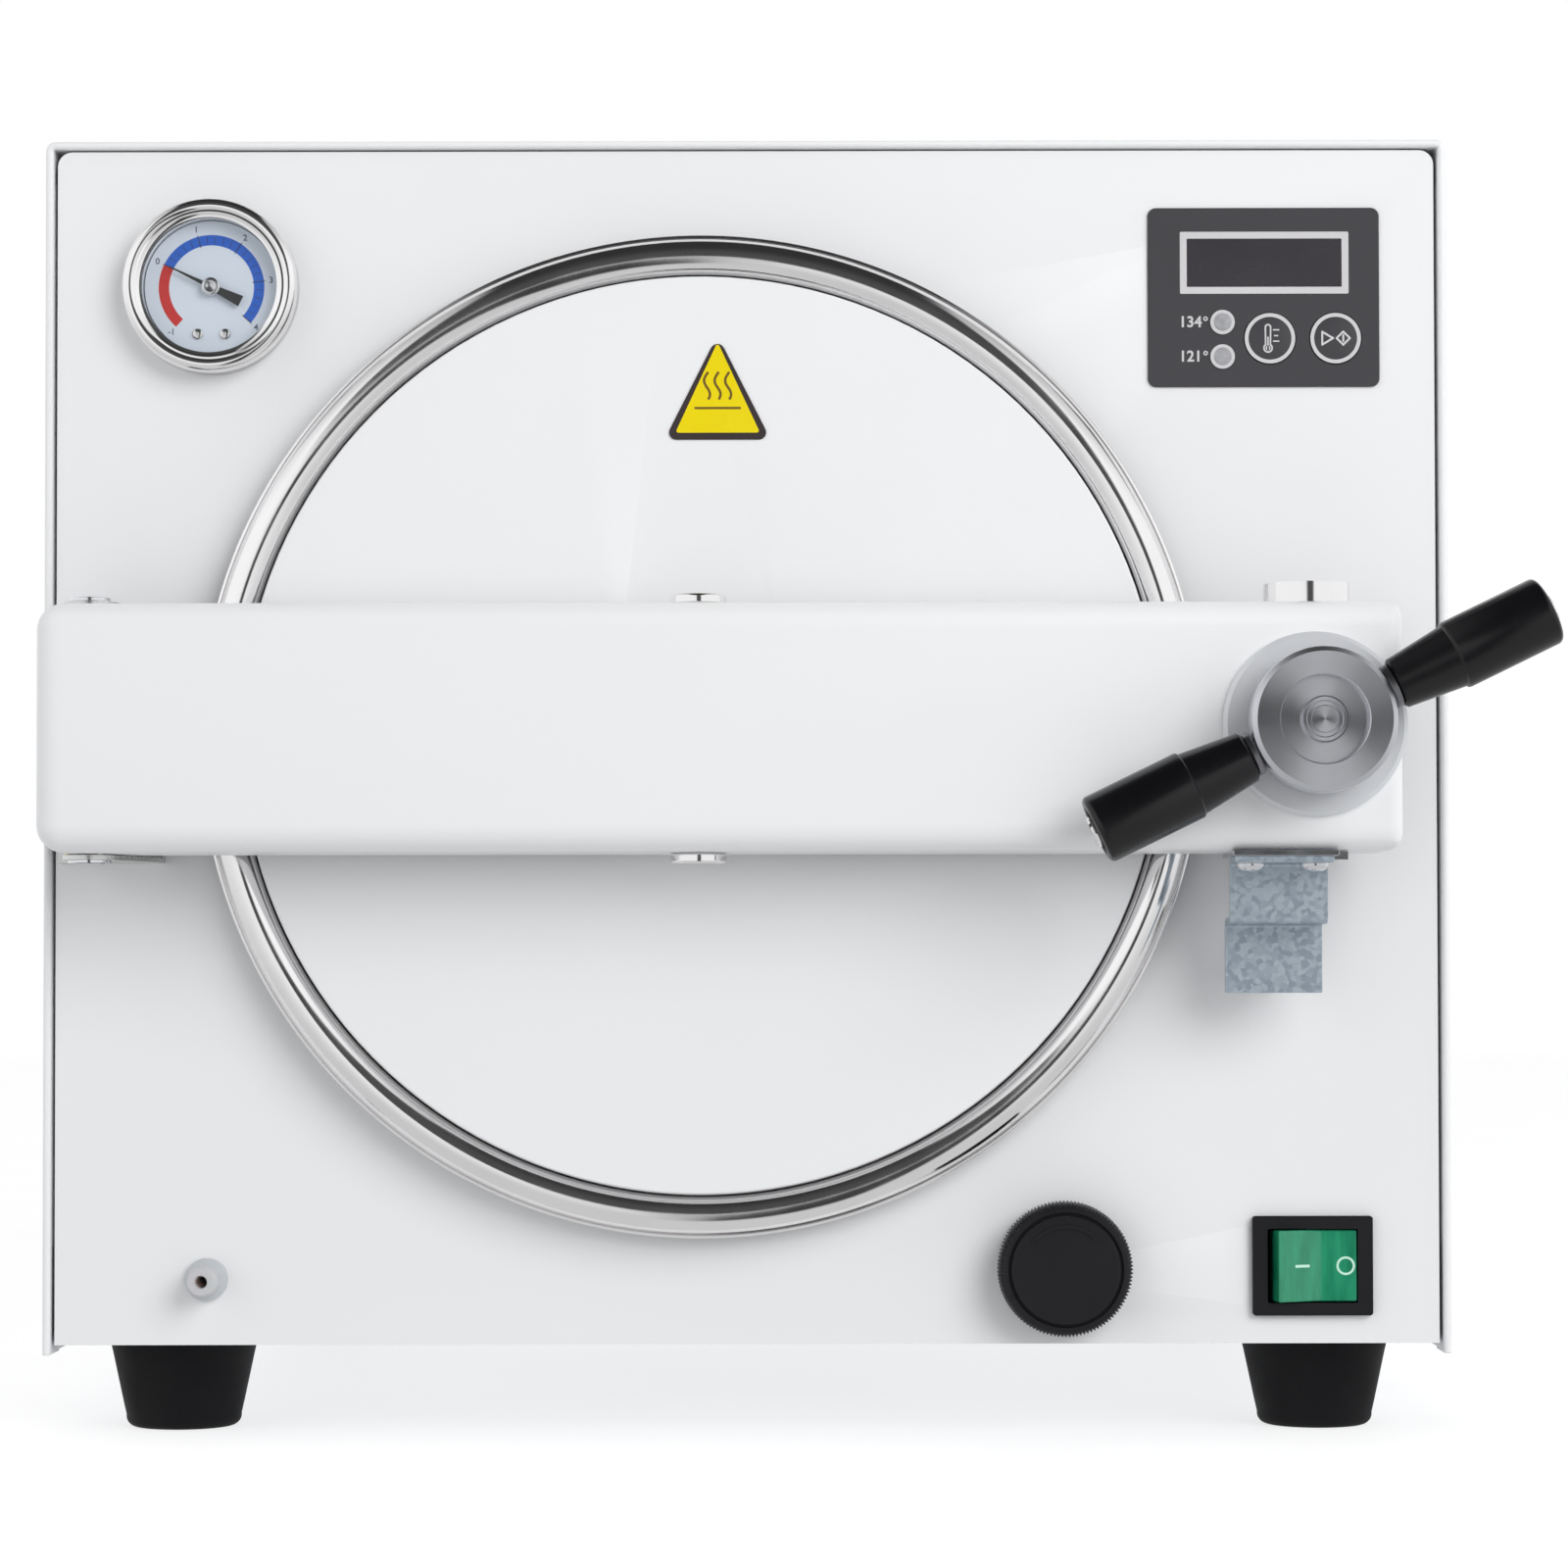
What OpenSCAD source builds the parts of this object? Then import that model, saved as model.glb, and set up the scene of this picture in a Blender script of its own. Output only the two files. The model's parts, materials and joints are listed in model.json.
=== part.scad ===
// Benchtop steam autoclave with a swinging door arm and a T-handle screw lock.
// Every module is drawn in the front panel's own axes: X to the right from the panel's middle,
// Y to the rear from the panel's front face, Z up from the panel's lower edge. in_frame() then
// moves it to the part's frame, whose origin is the middle of the footprint at floor level.

/* [Cabinet] */
// Width of the front panel
panel_w = 423; // [421:0.5:425]
// Height of the front panel
panel_h = 366; // [364:0.5:368]
// Depth of the hood, front edge to back edge
hood_d = 440; // [436:1:444]
// Thickness of the hood, panel and base sheets
sheet = 1.5; // [1.2:0.1:1.8]
// Gap between the front panel and the hood at each side
panel_gap = 1.1; // [0.9:0.1:1.3]
// Thickness of the hood's folded front edge
hem = 2.4; // [2.2:0.1:2.6]
// Height of a rubber foot
foot_h = 28; // [26:0.5:30]
// Sideways distance of each foot from the middle
foot_x = 177.2; // [174:0.2:180]

/* [Chamber and door] */
// Inner radius of the pressure chamber
chamber_r = 125; // [124:0.5:125.5]
// Length of the chamber's straight barrel behind the panel
barrel_d = 330; // [320:1:335]
// Chamber axis, sideways from the panel's middle
door_x = -13.6; // [-14.5:0.1:-13]
// Chamber axis height above the panel's lower edge
door_z = 185.6; // [185:0.1:186.5]
// Outer radius of the polished door rim
rim_r = 152.8; // [152:0.1:153]
// Width of the door arm, measured up the panel
arm_h = 73.5; // [73:0.1:74]
// Stand-off of the arm's front face from the panel
arm_front = 58; // [57.5:0.1:58.2]
// Left end of the arm
arm_left = -207.8; // [-208.5:0.1:-207.5]
// Right end of the arm
arm_right = 193.3; // [193:0.1:194]

/* [Lock] */
// Sideways place of the lock screw
lock_x = 167.2; // [166.5:0.1:168]
// Angle of the T-handle above horizontal
bar_angle = 26; // [0:1:60]
// Distance from the lock axis to the tip of a grip's screw
bar_reach = 74.2; // [73.5:0.1:74.5]
// Lead of the lock screw's thread
lock_lead = 3; // [2:0.5:3]
// Turns from open to clamped
lock_turns = 2; // [1:1:2]

/* [Controls] */
// Sideways place of the pressure gauge
gauge_x = -163.7; // [-165:0.1:-163]
// Height of the pressure gauge
gauge_z = 323.6; // [322:0.1:325]
// Sideways place of the exhaust valve knob
valve_x = 96.6; // [95:0.1:98]
// Height of the exhaust valve knob
valve_z = 23.4; // [23:0.1:24.5]
// Sideways place of the power switch
switch_x = 172.6; // [171:0.1:174]
// Height of the power switch
switch_z = 23.7; // [23:0.05:25]
// Half of the rocker's total swing
rocker_swing = 11; // [9:0.5:11]
// Sideways place of the drain nipple
drain_x = -165; // [-166:0.5:-164]
// Height of the drain nipple
drain_z = 20; // [19.5:0.1:20.5]

/* [Hidden] */
$fn = 64;

// Overall reach of the whole object on each side, from which the frame's origin follows
hood_out = panel_w / 2 + panel_gap + hem;
screw_head = 2.2;
reach_left = hood_out + screw_head;
grip_r = 10.25;
grip_round = 1.6;
grip_end = bar_reach - 1.5;
reach_right = lock_x + (grip_end - grip_round) * cos(bar_angle)
    + (grip_r - grip_round) * sin(bar_angle) + grip_round;
fit = 0.05;
m5_hole_r = 2.45;
m5_shank_r = 2.4;
m5_head_r = 4.2;
m5_head_t = 2.5;
m4_hole_r = 2.2;

// Door lock stack, all as distances in front of the panel
disc_t = 3;
washer_t = 1.5;
hub_t = 14;
lock_travel = lock_lead * lock_turns;
washer_back = arm_front + disc_t + lock_travel + 0.3;
hub_back = washer_back + washer_t;
hub_front = hub_back + hub_t;
bar_y = -(hub_back + hub_front) / 2;
reach_front = -bar_y + grip_r;
reach_back = 461;
origin_x = (reach_left - reach_right) / 2;
origin_y = (reach_front - reach_back) / 2;

// Hood and base
hood_front = -2;
hood_back = hood_front + hood_d;
hood_skin = 1.2;
top_gap = 0.6;
hood_top = panel_h + top_gap + hem;
hood_drop = 3;
hem_depth = 14;
skin_in = hood_out - hood_skin;
rear_front = hood_back - sheet;
foot_y = [35, 395];
foot_top_r = 23.1;
foot_low_r = 17.9;
case_screw_y = [60, 220, 380];
case_screw_z = 9;

// Door stack, all as Y
flange_front = -4;
gasket_front = -6;
plate_back = -8;
plate_front = -12;
cover_front = -15;
rim_in = 139.6;
rim_lip = 1.6;
rim_front = -17;
gasket_r = [127, 136];
gasket_groove_r = [129, 133];
label_x = -8.3;
label_z = 276.2;
boss_half = 22;
boss_half_h = 32;
boss_front = -48;
bolt_y = -38;
bolt_r = 6;
bolt_head_r = 8.5;
bolt_head_t = 3.2;
flange_screw_r = 145.5;
flange_screw_angles = [22.5 : 45 : 337.5];

// Arm
arm_back = 22;
arm_wall = 4;
arm_low = door_z - arm_h / 2;
arm_top = door_z + arm_h / 2;
hinge_x = -195;
hinge_y = -34;
hinge_pin_r = 4.5;
hinge_head_r = 6;
hinge_head_t = 1.2;
bush_r = 7.5;
lug_t = 1.5;
lug_gap = 0.25;
lug_r = 8;
lug_side = 17;
lug_side_y = -14;
hinge_plate_t = 4;
hinge_screw_dx = 8;
hinge_screw_z = [162, 208];
hinge_screw_back = -1.5;
clip_t = 0.8;
clip_r = 6.5;
lug_low = arm_low - lug_gap - lug_t;
lug_high = arm_top + lug_gap;
clip_low = lug_low - clip_t - 0.05;
pin_low = clip_low - 0.4;

// Lock
pin_r = 12.8;
pin_proud = 6;
spindle_r = 6;
spindle_tip = -19.5;
catch_front = -18.5;
catch_screw_dz = 15;
catch_screw_back = catch_front + 4;
bracket_x = 158.6;
bracket_w = 29.1;
bracket_screw_x = [149.4, 168];
bracket_screw_y = -48;
bracket_t = 2;
bracket_upper_back = -38;
bracket_lower_back = -23;
bracket_step_z = 127.5;
bracket_low = 107;
plate_t = 1.5;
plate_x = [143.5, 174.5];
plate_tab = 3.3;
pin_foot_r = 6;
hub_r = 21;
hub_recess_r = 12.75;
hub_recess_d = 3.8;
hub_bolt_r = 6.75;
disc_r = 27;
rod_r = 5;
rod_start = 14;
rod_end = bar_reach - 6;
rod_neck = 2.6;
rod_collar = 2.4;
grip_start = 23.5;

// Panel fittings
overlay_x = [123.5, 194.6];
overlay_z = [292.9, 348.1];
display_x = [135.5, 183.1];
display_z = [323.7, 338.6];
lamp_x = 146.4;
lamp_z = [302.2, 312.8];
lamp_r = 3.4;
key_x = [160.95, 181.1];
key_z = 307.8;
key_r = 7.7;
gauge_r = 20.6;
dial_screw_dx = 4.2;
dial_screw_dz = -14.3;
stem_r = 3;
knob_r = 20.5;
nipple_r = 4.7;
switch_w = 36.7;
switch_h = 30.3;
rocker_pivot_y = 3;
rocker_pin_r = 1.5;
safety_z = door_z + 40;
safety_r = 8.5;
ring_r = 11;
ring_wire_r = 1.4;
ring_y = reach_back - 4;
inlet_x = 120;
inlet_z = 60;
sensor_x = bracket_x;
sensor_z = 117;

// Inside the chamber
head_r = 250;
heater_dx = 35;
heater_dz = -105;
heater_r = 4;
probe_dx = 60;
probe_dz = 60;
probe_r = 2.5;
rack_dx = 97;
rack_t = 1.2;
rack_y = [22, 318];
tray_levels = [-52, -6, 40];
tray_half = 93;
tray_y = [26, 312];
tray_h = 16;
seam = 0.04;
exhaust_dx = 55;
exhaust_dz = -30;
exhaust_r = 4;
gauge_pipe_r = 3;
gauge_pipe_dx = -40;
gauge_pipe_dz = 60;
drain_y = 40;
drain_r = 4;

module in_frame() translate([origin_x, origin_y, foot_h]) children();

// A flat outline drawn in X and Z, thickened from y0 back to y1
module sheet_y(y0, y1) translate([0, y1, 0]) rotate([90, 0, 0]) linear_extrude(y1 - y0) children();

// An outline drawn in Y and Z, extended from x0 to x1
module bar_x(x0, x1) translate([x0, 0, 0]) rotate([90, 0, 90]) linear_extrude(x1 - x0) children();

// A profile drawn as radius and Y, turned about a front-to-back axis at x, z
module turned_y(x, z) translate([x, 0, z]) rotate([-90, 0, 0]) rotate_extrude() children();

module rod_y(x, z, y0, y1, r) sheet_y(y0, y1) translate([x, z]) circle(r);
module rod_z(x, y, z0, z1, r) translate([x, y, z0]) cylinder(h = z1 - z0, r = r);
module rod_x(y, z, x0, x1, r) bar_x(x0, x1) translate([y, z]) circle(r);
module block(low, high) translate(low) cube(high - low);

module span(low, high) translate(low) square(high - low);

module rounded(low, high, r) {
    span([low[0] + r, low[1]], [high[0] - r, high[1]]);
    span([low[0], low[1] + r], [high[0], high[1] - r]);
    for (x = [low[0] + r, high[0] - r], z = [low[1] + r, high[1] - r])
        translate([x, z]) circle(r);
}

module slot_outline(x, z, length, r) {
    span([x - length / 2, z - r], [x + length / 2, z + r]);
    for (side = [-1, 1]) translate([x + side * length / 2, z]) circle(r);
}

// A tube of constant radius along straight legs, with a slightly fuller ball at each corner
module bent_rod(path, r) {
    for (i = [0 : len(path) - 2]) {
        step = path[i + 1] - path[i];
        translate(path[i])
            rotate([0, acos(step[2] / norm(step)), atan2(step[1], step[0])])
                cylinder(h = norm(step), r = r);
    }
    for (i = [1 : len(path) - 2]) translate(path[i]) sphere(r + 0.1);
}

module at_flange_screws() for (a = flange_screw_angles)
    translate([door_x + flange_screw_r * cos(a), 0, door_z + flange_screw_r * sin(a)]) children();

module at_hinge_screws() for (x = [hinge_x - hinge_screw_dx, hinge_x + hinge_screw_dx],
    z = hinge_screw_z) translate([x, 0, z]) children();

module at_catch_screws() for (z = [door_z - catch_screw_dz, door_z + catch_screw_dz])
    translate([lock_x, 0, z]) children();

// ---- Cabinet ----

module base_tray() color("gainsboro") in_frame() difference() {
    union() {
        block([-panel_w / 2, sheet, 0], [panel_w / 2, hem_depth, sheet]);
        block([-skin_in, hem_depth, 0], [skin_in, rear_front, sheet]);
        block([-200, sheet, 0], [200, 2 * sheet, 14]);
        for (side = [-1, 1])
            block([side > 0 ? skin_in - sheet : -skin_in, hem_depth, 0],
                [side > 0 ? skin_in : -skin_in + sheet, rear_front, 25]);
    }
    for (x = [-foot_x, foot_x], y = foot_y) rod_z(x, y, -1, 5, 2.6);
    for (y = case_screw_y) rod_x(y, case_screw_z, -hood_out, hood_out, 2.1);
    for (i = [0 : 6]) block([-60, 130 + i * 25, -1], [60, 136 + i * 25, 5]);
    rod_y(drain_x, drain_z, 0, 5, 8);
    rod_y(valve_x, valve_z, 0, 5, 17);
    block([switch_x - 17, 0, 8], [switch_x + 17, 5, 20]);
}

module panel_outline() {
    rounded([-panel_w / 2, 0], [panel_w / 2, panel_h], 4.5);
    span([-panel_w / 2, 0], [panel_w / 2, 20]);
}

module front_panel() color("white") in_frame() difference() {
    union() {
        sheet_y(0, sheet) panel_outline();
        for (side = [-1, 1])
            block([side > 0 ? panel_w / 2 - sheet : -panel_w / 2, sheet, 30],
                [side > 0 ? panel_w / 2 : -panel_w / 2 + sheet, 16, panel_h - 10]);
        block([-panel_w / 2 + 10, sheet, panel_h - sheet], [panel_w / 2 - 10, 16, panel_h]);
    }
    rod_y(door_x, door_z, -1, 5, chamber_r + 14.3);
    at_flange_screws() rod_y(0, 0, -1, 5, m5_hole_r);
    rod_y(gauge_x, gauge_z, -1, 5, gauge_r + 0.3);
    sheet_y(-1, 5) span([display_x[0] - 0.2, display_z[0] - 0.2],
        [display_x[1] + 0.2, display_z[1] + 0.2]);
    for (z = lamp_z) rod_y(lamp_x, z, -1, 5, lamp_r + 0.2);
    for (x = key_x) rod_y(x, key_z, -1, 5, key_r + 0.3);
    rod_y(valve_x, valve_z, -1, 5, 6.2);
    rod_y(drain_x, drain_z, -1, 5, 4.8);
    sheet_y(-1, 5) span([switch_x - 16.2, switch_z - 12.8], [switch_x + 16.2, switch_z + 12.8]);
    rod_y(sensor_x, sensor_z, -1, 5, 6.2);
    at_hinge_screws() rod_y(0, 0, -1, 5, m5_hole_r);
    at_catch_screws() rod_y(0, 0, -1, 5, m5_hole_r);
}

module rear_panel() color("whitesmoke") in_frame() difference() {
    sheet_y(rear_front, hood_back) panel_outline();
    rod_y(door_x, safety_z, 400, 450, safety_r + 0.5);
    sheet_y(400, 450) span([inlet_x - 14, inlet_z - 20.5], [inlet_x + 14, inlet_z + 20.5]);
    for (column = [-110, -60], row = [0 : 8])
        sheet_y(400, 450) slot_outline(column, 60 + row * 9, 34, 1.75);
    for (column = [110, 160], row = [0 : 8])
        sheet_y(400, 450) slot_outline(column, 270 + row * 9, 34, 1.75);
}

module hood_section(inset, drop) {
    span([-hood_out + inset, -drop], [hood_out - inset, hood_top - inset]);
}

module hood() color("white") in_frame() difference() {
    sheet_y(hood_front, hood_back) hood_section(0, hood_drop);
    sheet_y(hood_front - 1, hood_back + 1) hood_section(hem, hood_drop + 1);
    sheet_y(hem_depth, hood_back + 1) hood_section(hood_skin, hood_drop + 1);
    for (y = case_screw_y) rod_x(y, case_screw_z, -hood_out - 1, hood_out + 1, 2.1);
    for (row = [0 : 6]) bar_x(-hood_out - 1, hood_out + 1) slot_outline(360, 60 + row * 12, 60, 2);
}

module case_screws() color("silver") in_frame() for (side = [-1, 1], y = case_screw_y)
    translate([side * hood_out, y, case_screw_z]) rotate([0, side * 90, 0]) {
        intersection() {
            translate([0, 0, -2.6]) sphere(screw_head + 2.6);
            cylinder(h = 3, r = 4);
        }
        translate([0, 0, -8]) cylinder(h = 8, r = 2.1);
    }

module feet() color("black") in_frame() for (x = [-foot_x, foot_x], y = foot_y)
    translate([x, y, -foot_h]) difference() {
        rotate_extrude() {
            polygon([[0, 0], [foot_low_r - 3, 0], [foot_low_r, 3], [foot_top_r, foot_h],
                [0, foot_h]]);
            translate([foot_low_r - 3, 3]) circle(3);
        }
        translate([0, 0, -1]) cylinder(h = 15, r = 6);
        cylinder(h = foot_h + 1, r = 2.6);
    }

module foot_screws() color("silver") in_frame() for (x = [-foot_x, foot_x], y = foot_y)
    translate([x, y, -foot_h]) {
        translate([0, 0, 11]) cylinder(h = 3, r = 4.4);
        translate([0, 0, 14]) cylinder(h = 18, r = 2.5);
        translate([0, 0, foot_h + sheet]) cylinder(h = 4, r = 4.6, $fn = 6);
    }

// ---- Chamber and what it holds ----

function head_y(dx, dz) = barrel_d - sqrt(head_r * head_r - chamber_r * chamber_r)
    + sqrt(head_r * head_r - dx * dx - dz * dz);

module chamber_profile() {
    span([chamber_r, flange_front], [chamber_r + 2, barrel_d]);
    span([chamber_r, flange_front], [chamber_r + 14, 6.5]);
    span([chamber_r, sheet], [chamber_r + 26, 6.5]);
    intersection() {
        translate([0, head_y(0, 0) - head_r]) difference() {
            circle(head_r + 2, $fn = 128);
            circle(head_r, $fn = 128);
        }
        span([0, barrel_d], [chamber_r + 2, barrel_d + 60]);
    }
}

module chamber() color("silver") in_frame() difference() {
    turned_y(door_x, door_z) chamber_profile();
    at_flange_screws() rod_y(0, 0, 0, 8, m5_shank_r);
    for (side = [-1, 1])
        rod_y(door_x + side * heater_dx, door_z + heater_dz, 300, 380, heater_r + 0.1);
    rod_y(door_x + probe_dx, door_z + probe_dz, 300, 380, probe_r + 0.1);
    rod_y(door_x + exhaust_dx, door_z + exhaust_dz, 300, 380, exhaust_r + 0.1);
    rod_y(door_x + gauge_pipe_dx, door_z + gauge_pipe_dz, 300, 380, gauge_pipe_r + 0.1);
    rod_y(door_x, safety_z, 300, 380, 5.1);
    rod_z(door_x, drain_y, door_z - 140, door_z - 100, drain_r + 0.1);
}

module insulation_jacket() color("lightgray") in_frame() difference() {
    turned_y(door_x, door_z) span([chamber_r + 2.1, 8], [chamber_r + 15, barrel_d]);
    rod_z(door_x, drain_y, 0, door_z - 100, drain_r + 0.5);
}

module chamber_cradles() color("darkgray") in_frame() difference() {
    for (y = [90, 280]) {
        block([door_x - 100, y, sheet], [door_x + 100, y + 3, 110]);
        block([door_x - 100, y - 15, sheet], [door_x + 100, y, sheet + 3]);
    }
    rod_y(door_x, door_z, 0, 400, chamber_r + 15.1);
}

module heater_element() color("dimgray") in_frame() translate([door_x, 0, door_z + heater_dz]) {
    for (side = [-1, 1]) {
        rod_y(side * heater_dx, 0, 75, 348, heater_r);
        rod_y(side * heater_dx, 0, 348, 356, 1.5);
    }
    translate([0, 75, 0]) rotate([0, 0, 180]) rotate_extrude(angle = 180)
        translate([heater_dx, 0]) circle(heater_r);
}

module temperature_probe() color("silver") in_frame() {
    rod_y(door_x + probe_dx, door_z + probe_dz, 270, 354, probe_r);
    translate([door_x + probe_dx, 354, door_z + probe_dz]) rotate([-90, 0, 0])
        cylinder(h = 9, r = 6, $fn = 6);
}

// Two slotted side plates with three ledges each, tied by four straps; welds bridge seam
module tray_rack() color("silver") in_frame() translate([door_x, 0, door_z]) {
    for (side = [-1, 1]) mirror([side < 0 ? 1 : 0, 0, 0]) {
        difference() {
            block([rack_dx, rack_y[0], -77.2], [rack_dx + rack_t, rack_y[1], 66]);
            for (y = [65 : 70 : 275], z = [-29, 17])
                bar_x(rack_dx - 5, rack_dx + 5) slot_outline(y, z, 30, 12);
        }
        for (z = tray_levels)
            block([rack_dx - 8, rack_y[0], z - rack_t - seam], [rack_dx - seam, rack_y[1], z - seam]);
    }
    for (y = [rack_y[0], rack_y[1] - 10], z = [-70, 66 - rack_t])
        block([-rack_dx + seam, y, z], [rack_dx - seam, y + 10, z + rack_t]);
}

// Each tray is a perforated floor with four side strips welded to it
module trays() color("gainsboro") in_frame() for (z = tray_levels)
    translate([door_x, 0, door_z + z]) {
        difference() {
            block([-tray_half, tray_y[0], 0], [tray_half, tray_y[1], 1]);
            for (x = [-66 : 44 : 66], y = [54 : 46 : 284]) rod_z(x, y, -1, 3, 6);
        }
        for (x = [-tray_half, tray_half - 1])
            block([x, tray_y[0], 1 + seam], [x + 1, tray_y[1], tray_h]);
        for (y = [tray_y[0], tray_y[1] - 1])
            block([-tray_half + 1 + seam, y, 1 + seam], [tray_half - 1 - seam, y + 1, tray_h]);
    }

module pipes() color("peru") in_frame() {
    bent_rod([[gauge_x, 36, gauge_z], [gauge_x, 408, gauge_z],
        [door_x + gauge_pipe_dx, 408, gauge_z],
        [door_x + gauge_pipe_dx, 408, door_z + gauge_pipe_dz],
        [door_x + gauge_pipe_dx, head_y(gauge_pipe_dx, gauge_pipe_dz) - 4,
            door_z + gauge_pipe_dz]], gauge_pipe_r);
    bent_rod([[valve_x, 40, valve_z], [valve_x, 400, valve_z],
        [door_x + exhaust_dx, 400, valve_z + 12],
        [door_x + exhaust_dx, 400, door_z + exhaust_dz],
        [door_x + exhaust_dx, head_y(exhaust_dx, exhaust_dz) - 4,
            door_z + exhaust_dz]], exhaust_r);
    bent_rod([[drain_x, 22, drain_z], [drain_x, drain_y, drain_z],
        [door_x, drain_y, drain_z], [door_x, drain_y, door_z - chamber_r - 1]], drain_r);
}

// ---- Hinge and catch on the front panel ----

module lug_outline() {
    polygon([[hinge_x - lug_r, 0], [hinge_x - lug_r, hinge_y], [hinge_x + lug_r, hinge_y],
        [hinge_x + lug_side, lug_side_y], [hinge_x + lug_side, 0]]);
    translate([hinge_x, hinge_y]) circle(lug_r);
}

module hinge_bracket() color("silver") in_frame() difference() {
    union() {
        block([hinge_x - lug_side + 2, -hinge_plate_t, lug_low],
            [hinge_x + lug_side, 0, lug_high + lug_t]);
        for (z = [lug_low, lug_high]) translate([0, 0, z]) linear_extrude(lug_t) lug_outline();
    }
    rod_z(hinge_x, hinge_y, 100, 300, hinge_pin_r);
    at_hinge_screws() {
        rod_y(0, 0, -hinge_plate_t - 1, 1, m5_shank_r);
        rod_y(0, 0, -hinge_plate_t - 1, hinge_screw_back, m5_head_r + 0.1);
    }
}

module hinge_pin() color("silver") in_frame() difference() {
    union() {
        rod_z(hinge_x, hinge_y, pin_low, lug_high + lug_t, hinge_pin_r);
        rod_z(hinge_x, hinge_y, lug_high + lug_t, lug_high + lug_t + hinge_head_t, hinge_head_r);
    }
    translate([hinge_x, hinge_y, clip_low]) rotate_extrude()
        span([hinge_pin_r - 1, 0], [hinge_pin_r + 1, clip_t]);
}

module hinge_clips() color("dimgray") in_frame()
    translate([hinge_x, hinge_y, clip_low]) linear_extrude(clip_t) difference() {
        circle(clip_r);
        circle(hinge_pin_r - 1);
        span([-2.5, 0], [2.5, 10]);
    }

module catch_block() color("silver") in_frame() difference() {
    sheet_y(catch_front, 0) rounded([lock_x - 17, door_z - 22], [lock_x + 17, door_z + 22], 4);
    rod_y(lock_x, door_z, catch_front - 1, -2, spindle_r + 0.1);
    at_catch_screws() {
        rod_y(0, 0, catch_front - 1, 1, m5_shank_r);
        rod_y(0, 0, catch_front - 1, catch_screw_back, m5_head_r + 0.1);
    }
}

module panel_screw(head_back, length) {
    rod_y(0, 0, head_back - m5_head_t, head_back, m5_head_r);
    rod_y(0, 0, head_back, head_back + length, m5_shank_r);
}

module panel_screws() color("silver") in_frame() {
    at_flange_screws() panel_screw(0, 12);
    at_hinge_screws() panel_screw(hinge_screw_back, 12);
    at_catch_screws() panel_screw(catch_screw_back, 22);
}

module door_sensor() color("silver") in_frame() {
    rod_y(sensor_x, sensor_z, -12, 30, 6);
    translate([sensor_x, -4, sensor_z]) rotate([-90, 0, 0]) cylinder(h = 4, r = 9, $fn = 6);
    translate([sensor_x, sheet, sensor_z]) rotate([-90, 0, 0]) cylinder(h = 4, r = 9, $fn = 6);
}

// ---- Gauge ----

module gauge_case() color("dimgray") in_frame() difference() {
    union() {
        rod_y(gauge_x, gauge_z, -2.5, 28, gauge_r);
        rod_y(gauge_x, gauge_z, 28, 36, 6);
    }
    rod_y(gauge_x, gauge_z, -3, 4, 0.9);
    rod_y(gauge_x, gauge_z, 30, 40, gauge_pipe_r);
    for (side = [-1, 1])
        rod_y(gauge_x + side * dial_screw_dx, gauge_z + dial_screw_dz, -3, 1, 0.9);
}

module gauge_bezel() color("silver") in_frame() turned_y(gauge_x, gauge_z) difference() {
    union() {
        span([gauge_r + 0.1, -10], [24.2, 0]);
        span([24, -7.5], [26.7, 0]);
        translate([24.2, -7.5]) circle(2.5);
    }
    span([gauge_r - 3, -8.8], [gauge_r + 0.9, -7.4]);
}

module gauge_dial() color("aliceblue") in_frame() difference() {
    union() {
        rod_y(gauge_x, gauge_z, -3.3, -2.5, gauge_r);
        for (side = [-1, 1]) {
            rod_y(gauge_x + side * dial_screw_dx, gauge_z + dial_screw_dz, -4.1, 1, 0.9);
            rod_y(gauge_x + side * dial_screw_dx, gauge_z + dial_screw_dz, -4.1, -3.3, 1.8);
        }
    }
    rod_y(gauge_x, gauge_z, -5, 0, 0.65);
}

module gauge_lens() color([0.8, 0.9, 1, 0.3]) in_frame()
    rod_y(gauge_x, gauge_z, -8.8, -7.4, gauge_r + 0.9);

module gauge_needle() color("black") in_frame() {
    translate([gauge_x, 0, gauge_z]) rotate([0, -154, 0]) sheet_y(-5.3, -4.8) {
        polygon([[0, -0.7], [14.5, -0.25], [14.5, 0.25], [0, 0.7]]);
        polygon([[0, -0.9], [-9, -1.7], [-9, 1.7], [0, 0.9]]);
    }
    rod_y(gauge_x, gauge_z, -6, -4.4, 2.8);
    rod_y(gauge_x, gauge_z, -4.4, 3, 0.6);
}

// ---- Control field ----

module control_overlay() color("darkslategray") in_frame() difference() {
    sheet_y(-0.8, 0) rounded([overlay_x[0], overlay_z[0]], [overlay_x[1], overlay_z[1]], 2.6);
    sheet_y(-2, 1) span([display_x[0], display_z[0]], [display_x[1], display_z[1]]);
    for (z = lamp_z) rod_y(lamp_x, z, -2, 1, lamp_r);
    for (x = key_x) rod_y(x, key_z, -2, 1, key_r + 0.3);
}

module display_window() color([0.1, 0.1, 0.12]) in_frame()
    sheet_y(-0.6, 3) span([display_x[0], display_z[0]], [display_x[1], display_z[1]]);

module indicator_lamps() color("lightgray") in_frame() for (z = lamp_z) {
    rod_y(lamp_x, z, -1.1, 2.5, lamp_r);
    rod_y(lamp_x, z, 2.5, 8, 2.4);
}

module key_cap(x) {
    rod_y(x, key_z, -1.1, 2.4, key_r);
    rod_y(x, key_z, 2.4, 4, 3);
}

module key_temperature() color("darkslategray") in_frame() key_cap(key_x[0]);
module key_start() color("darkslategray") in_frame() key_cap(key_x[1]);

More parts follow.
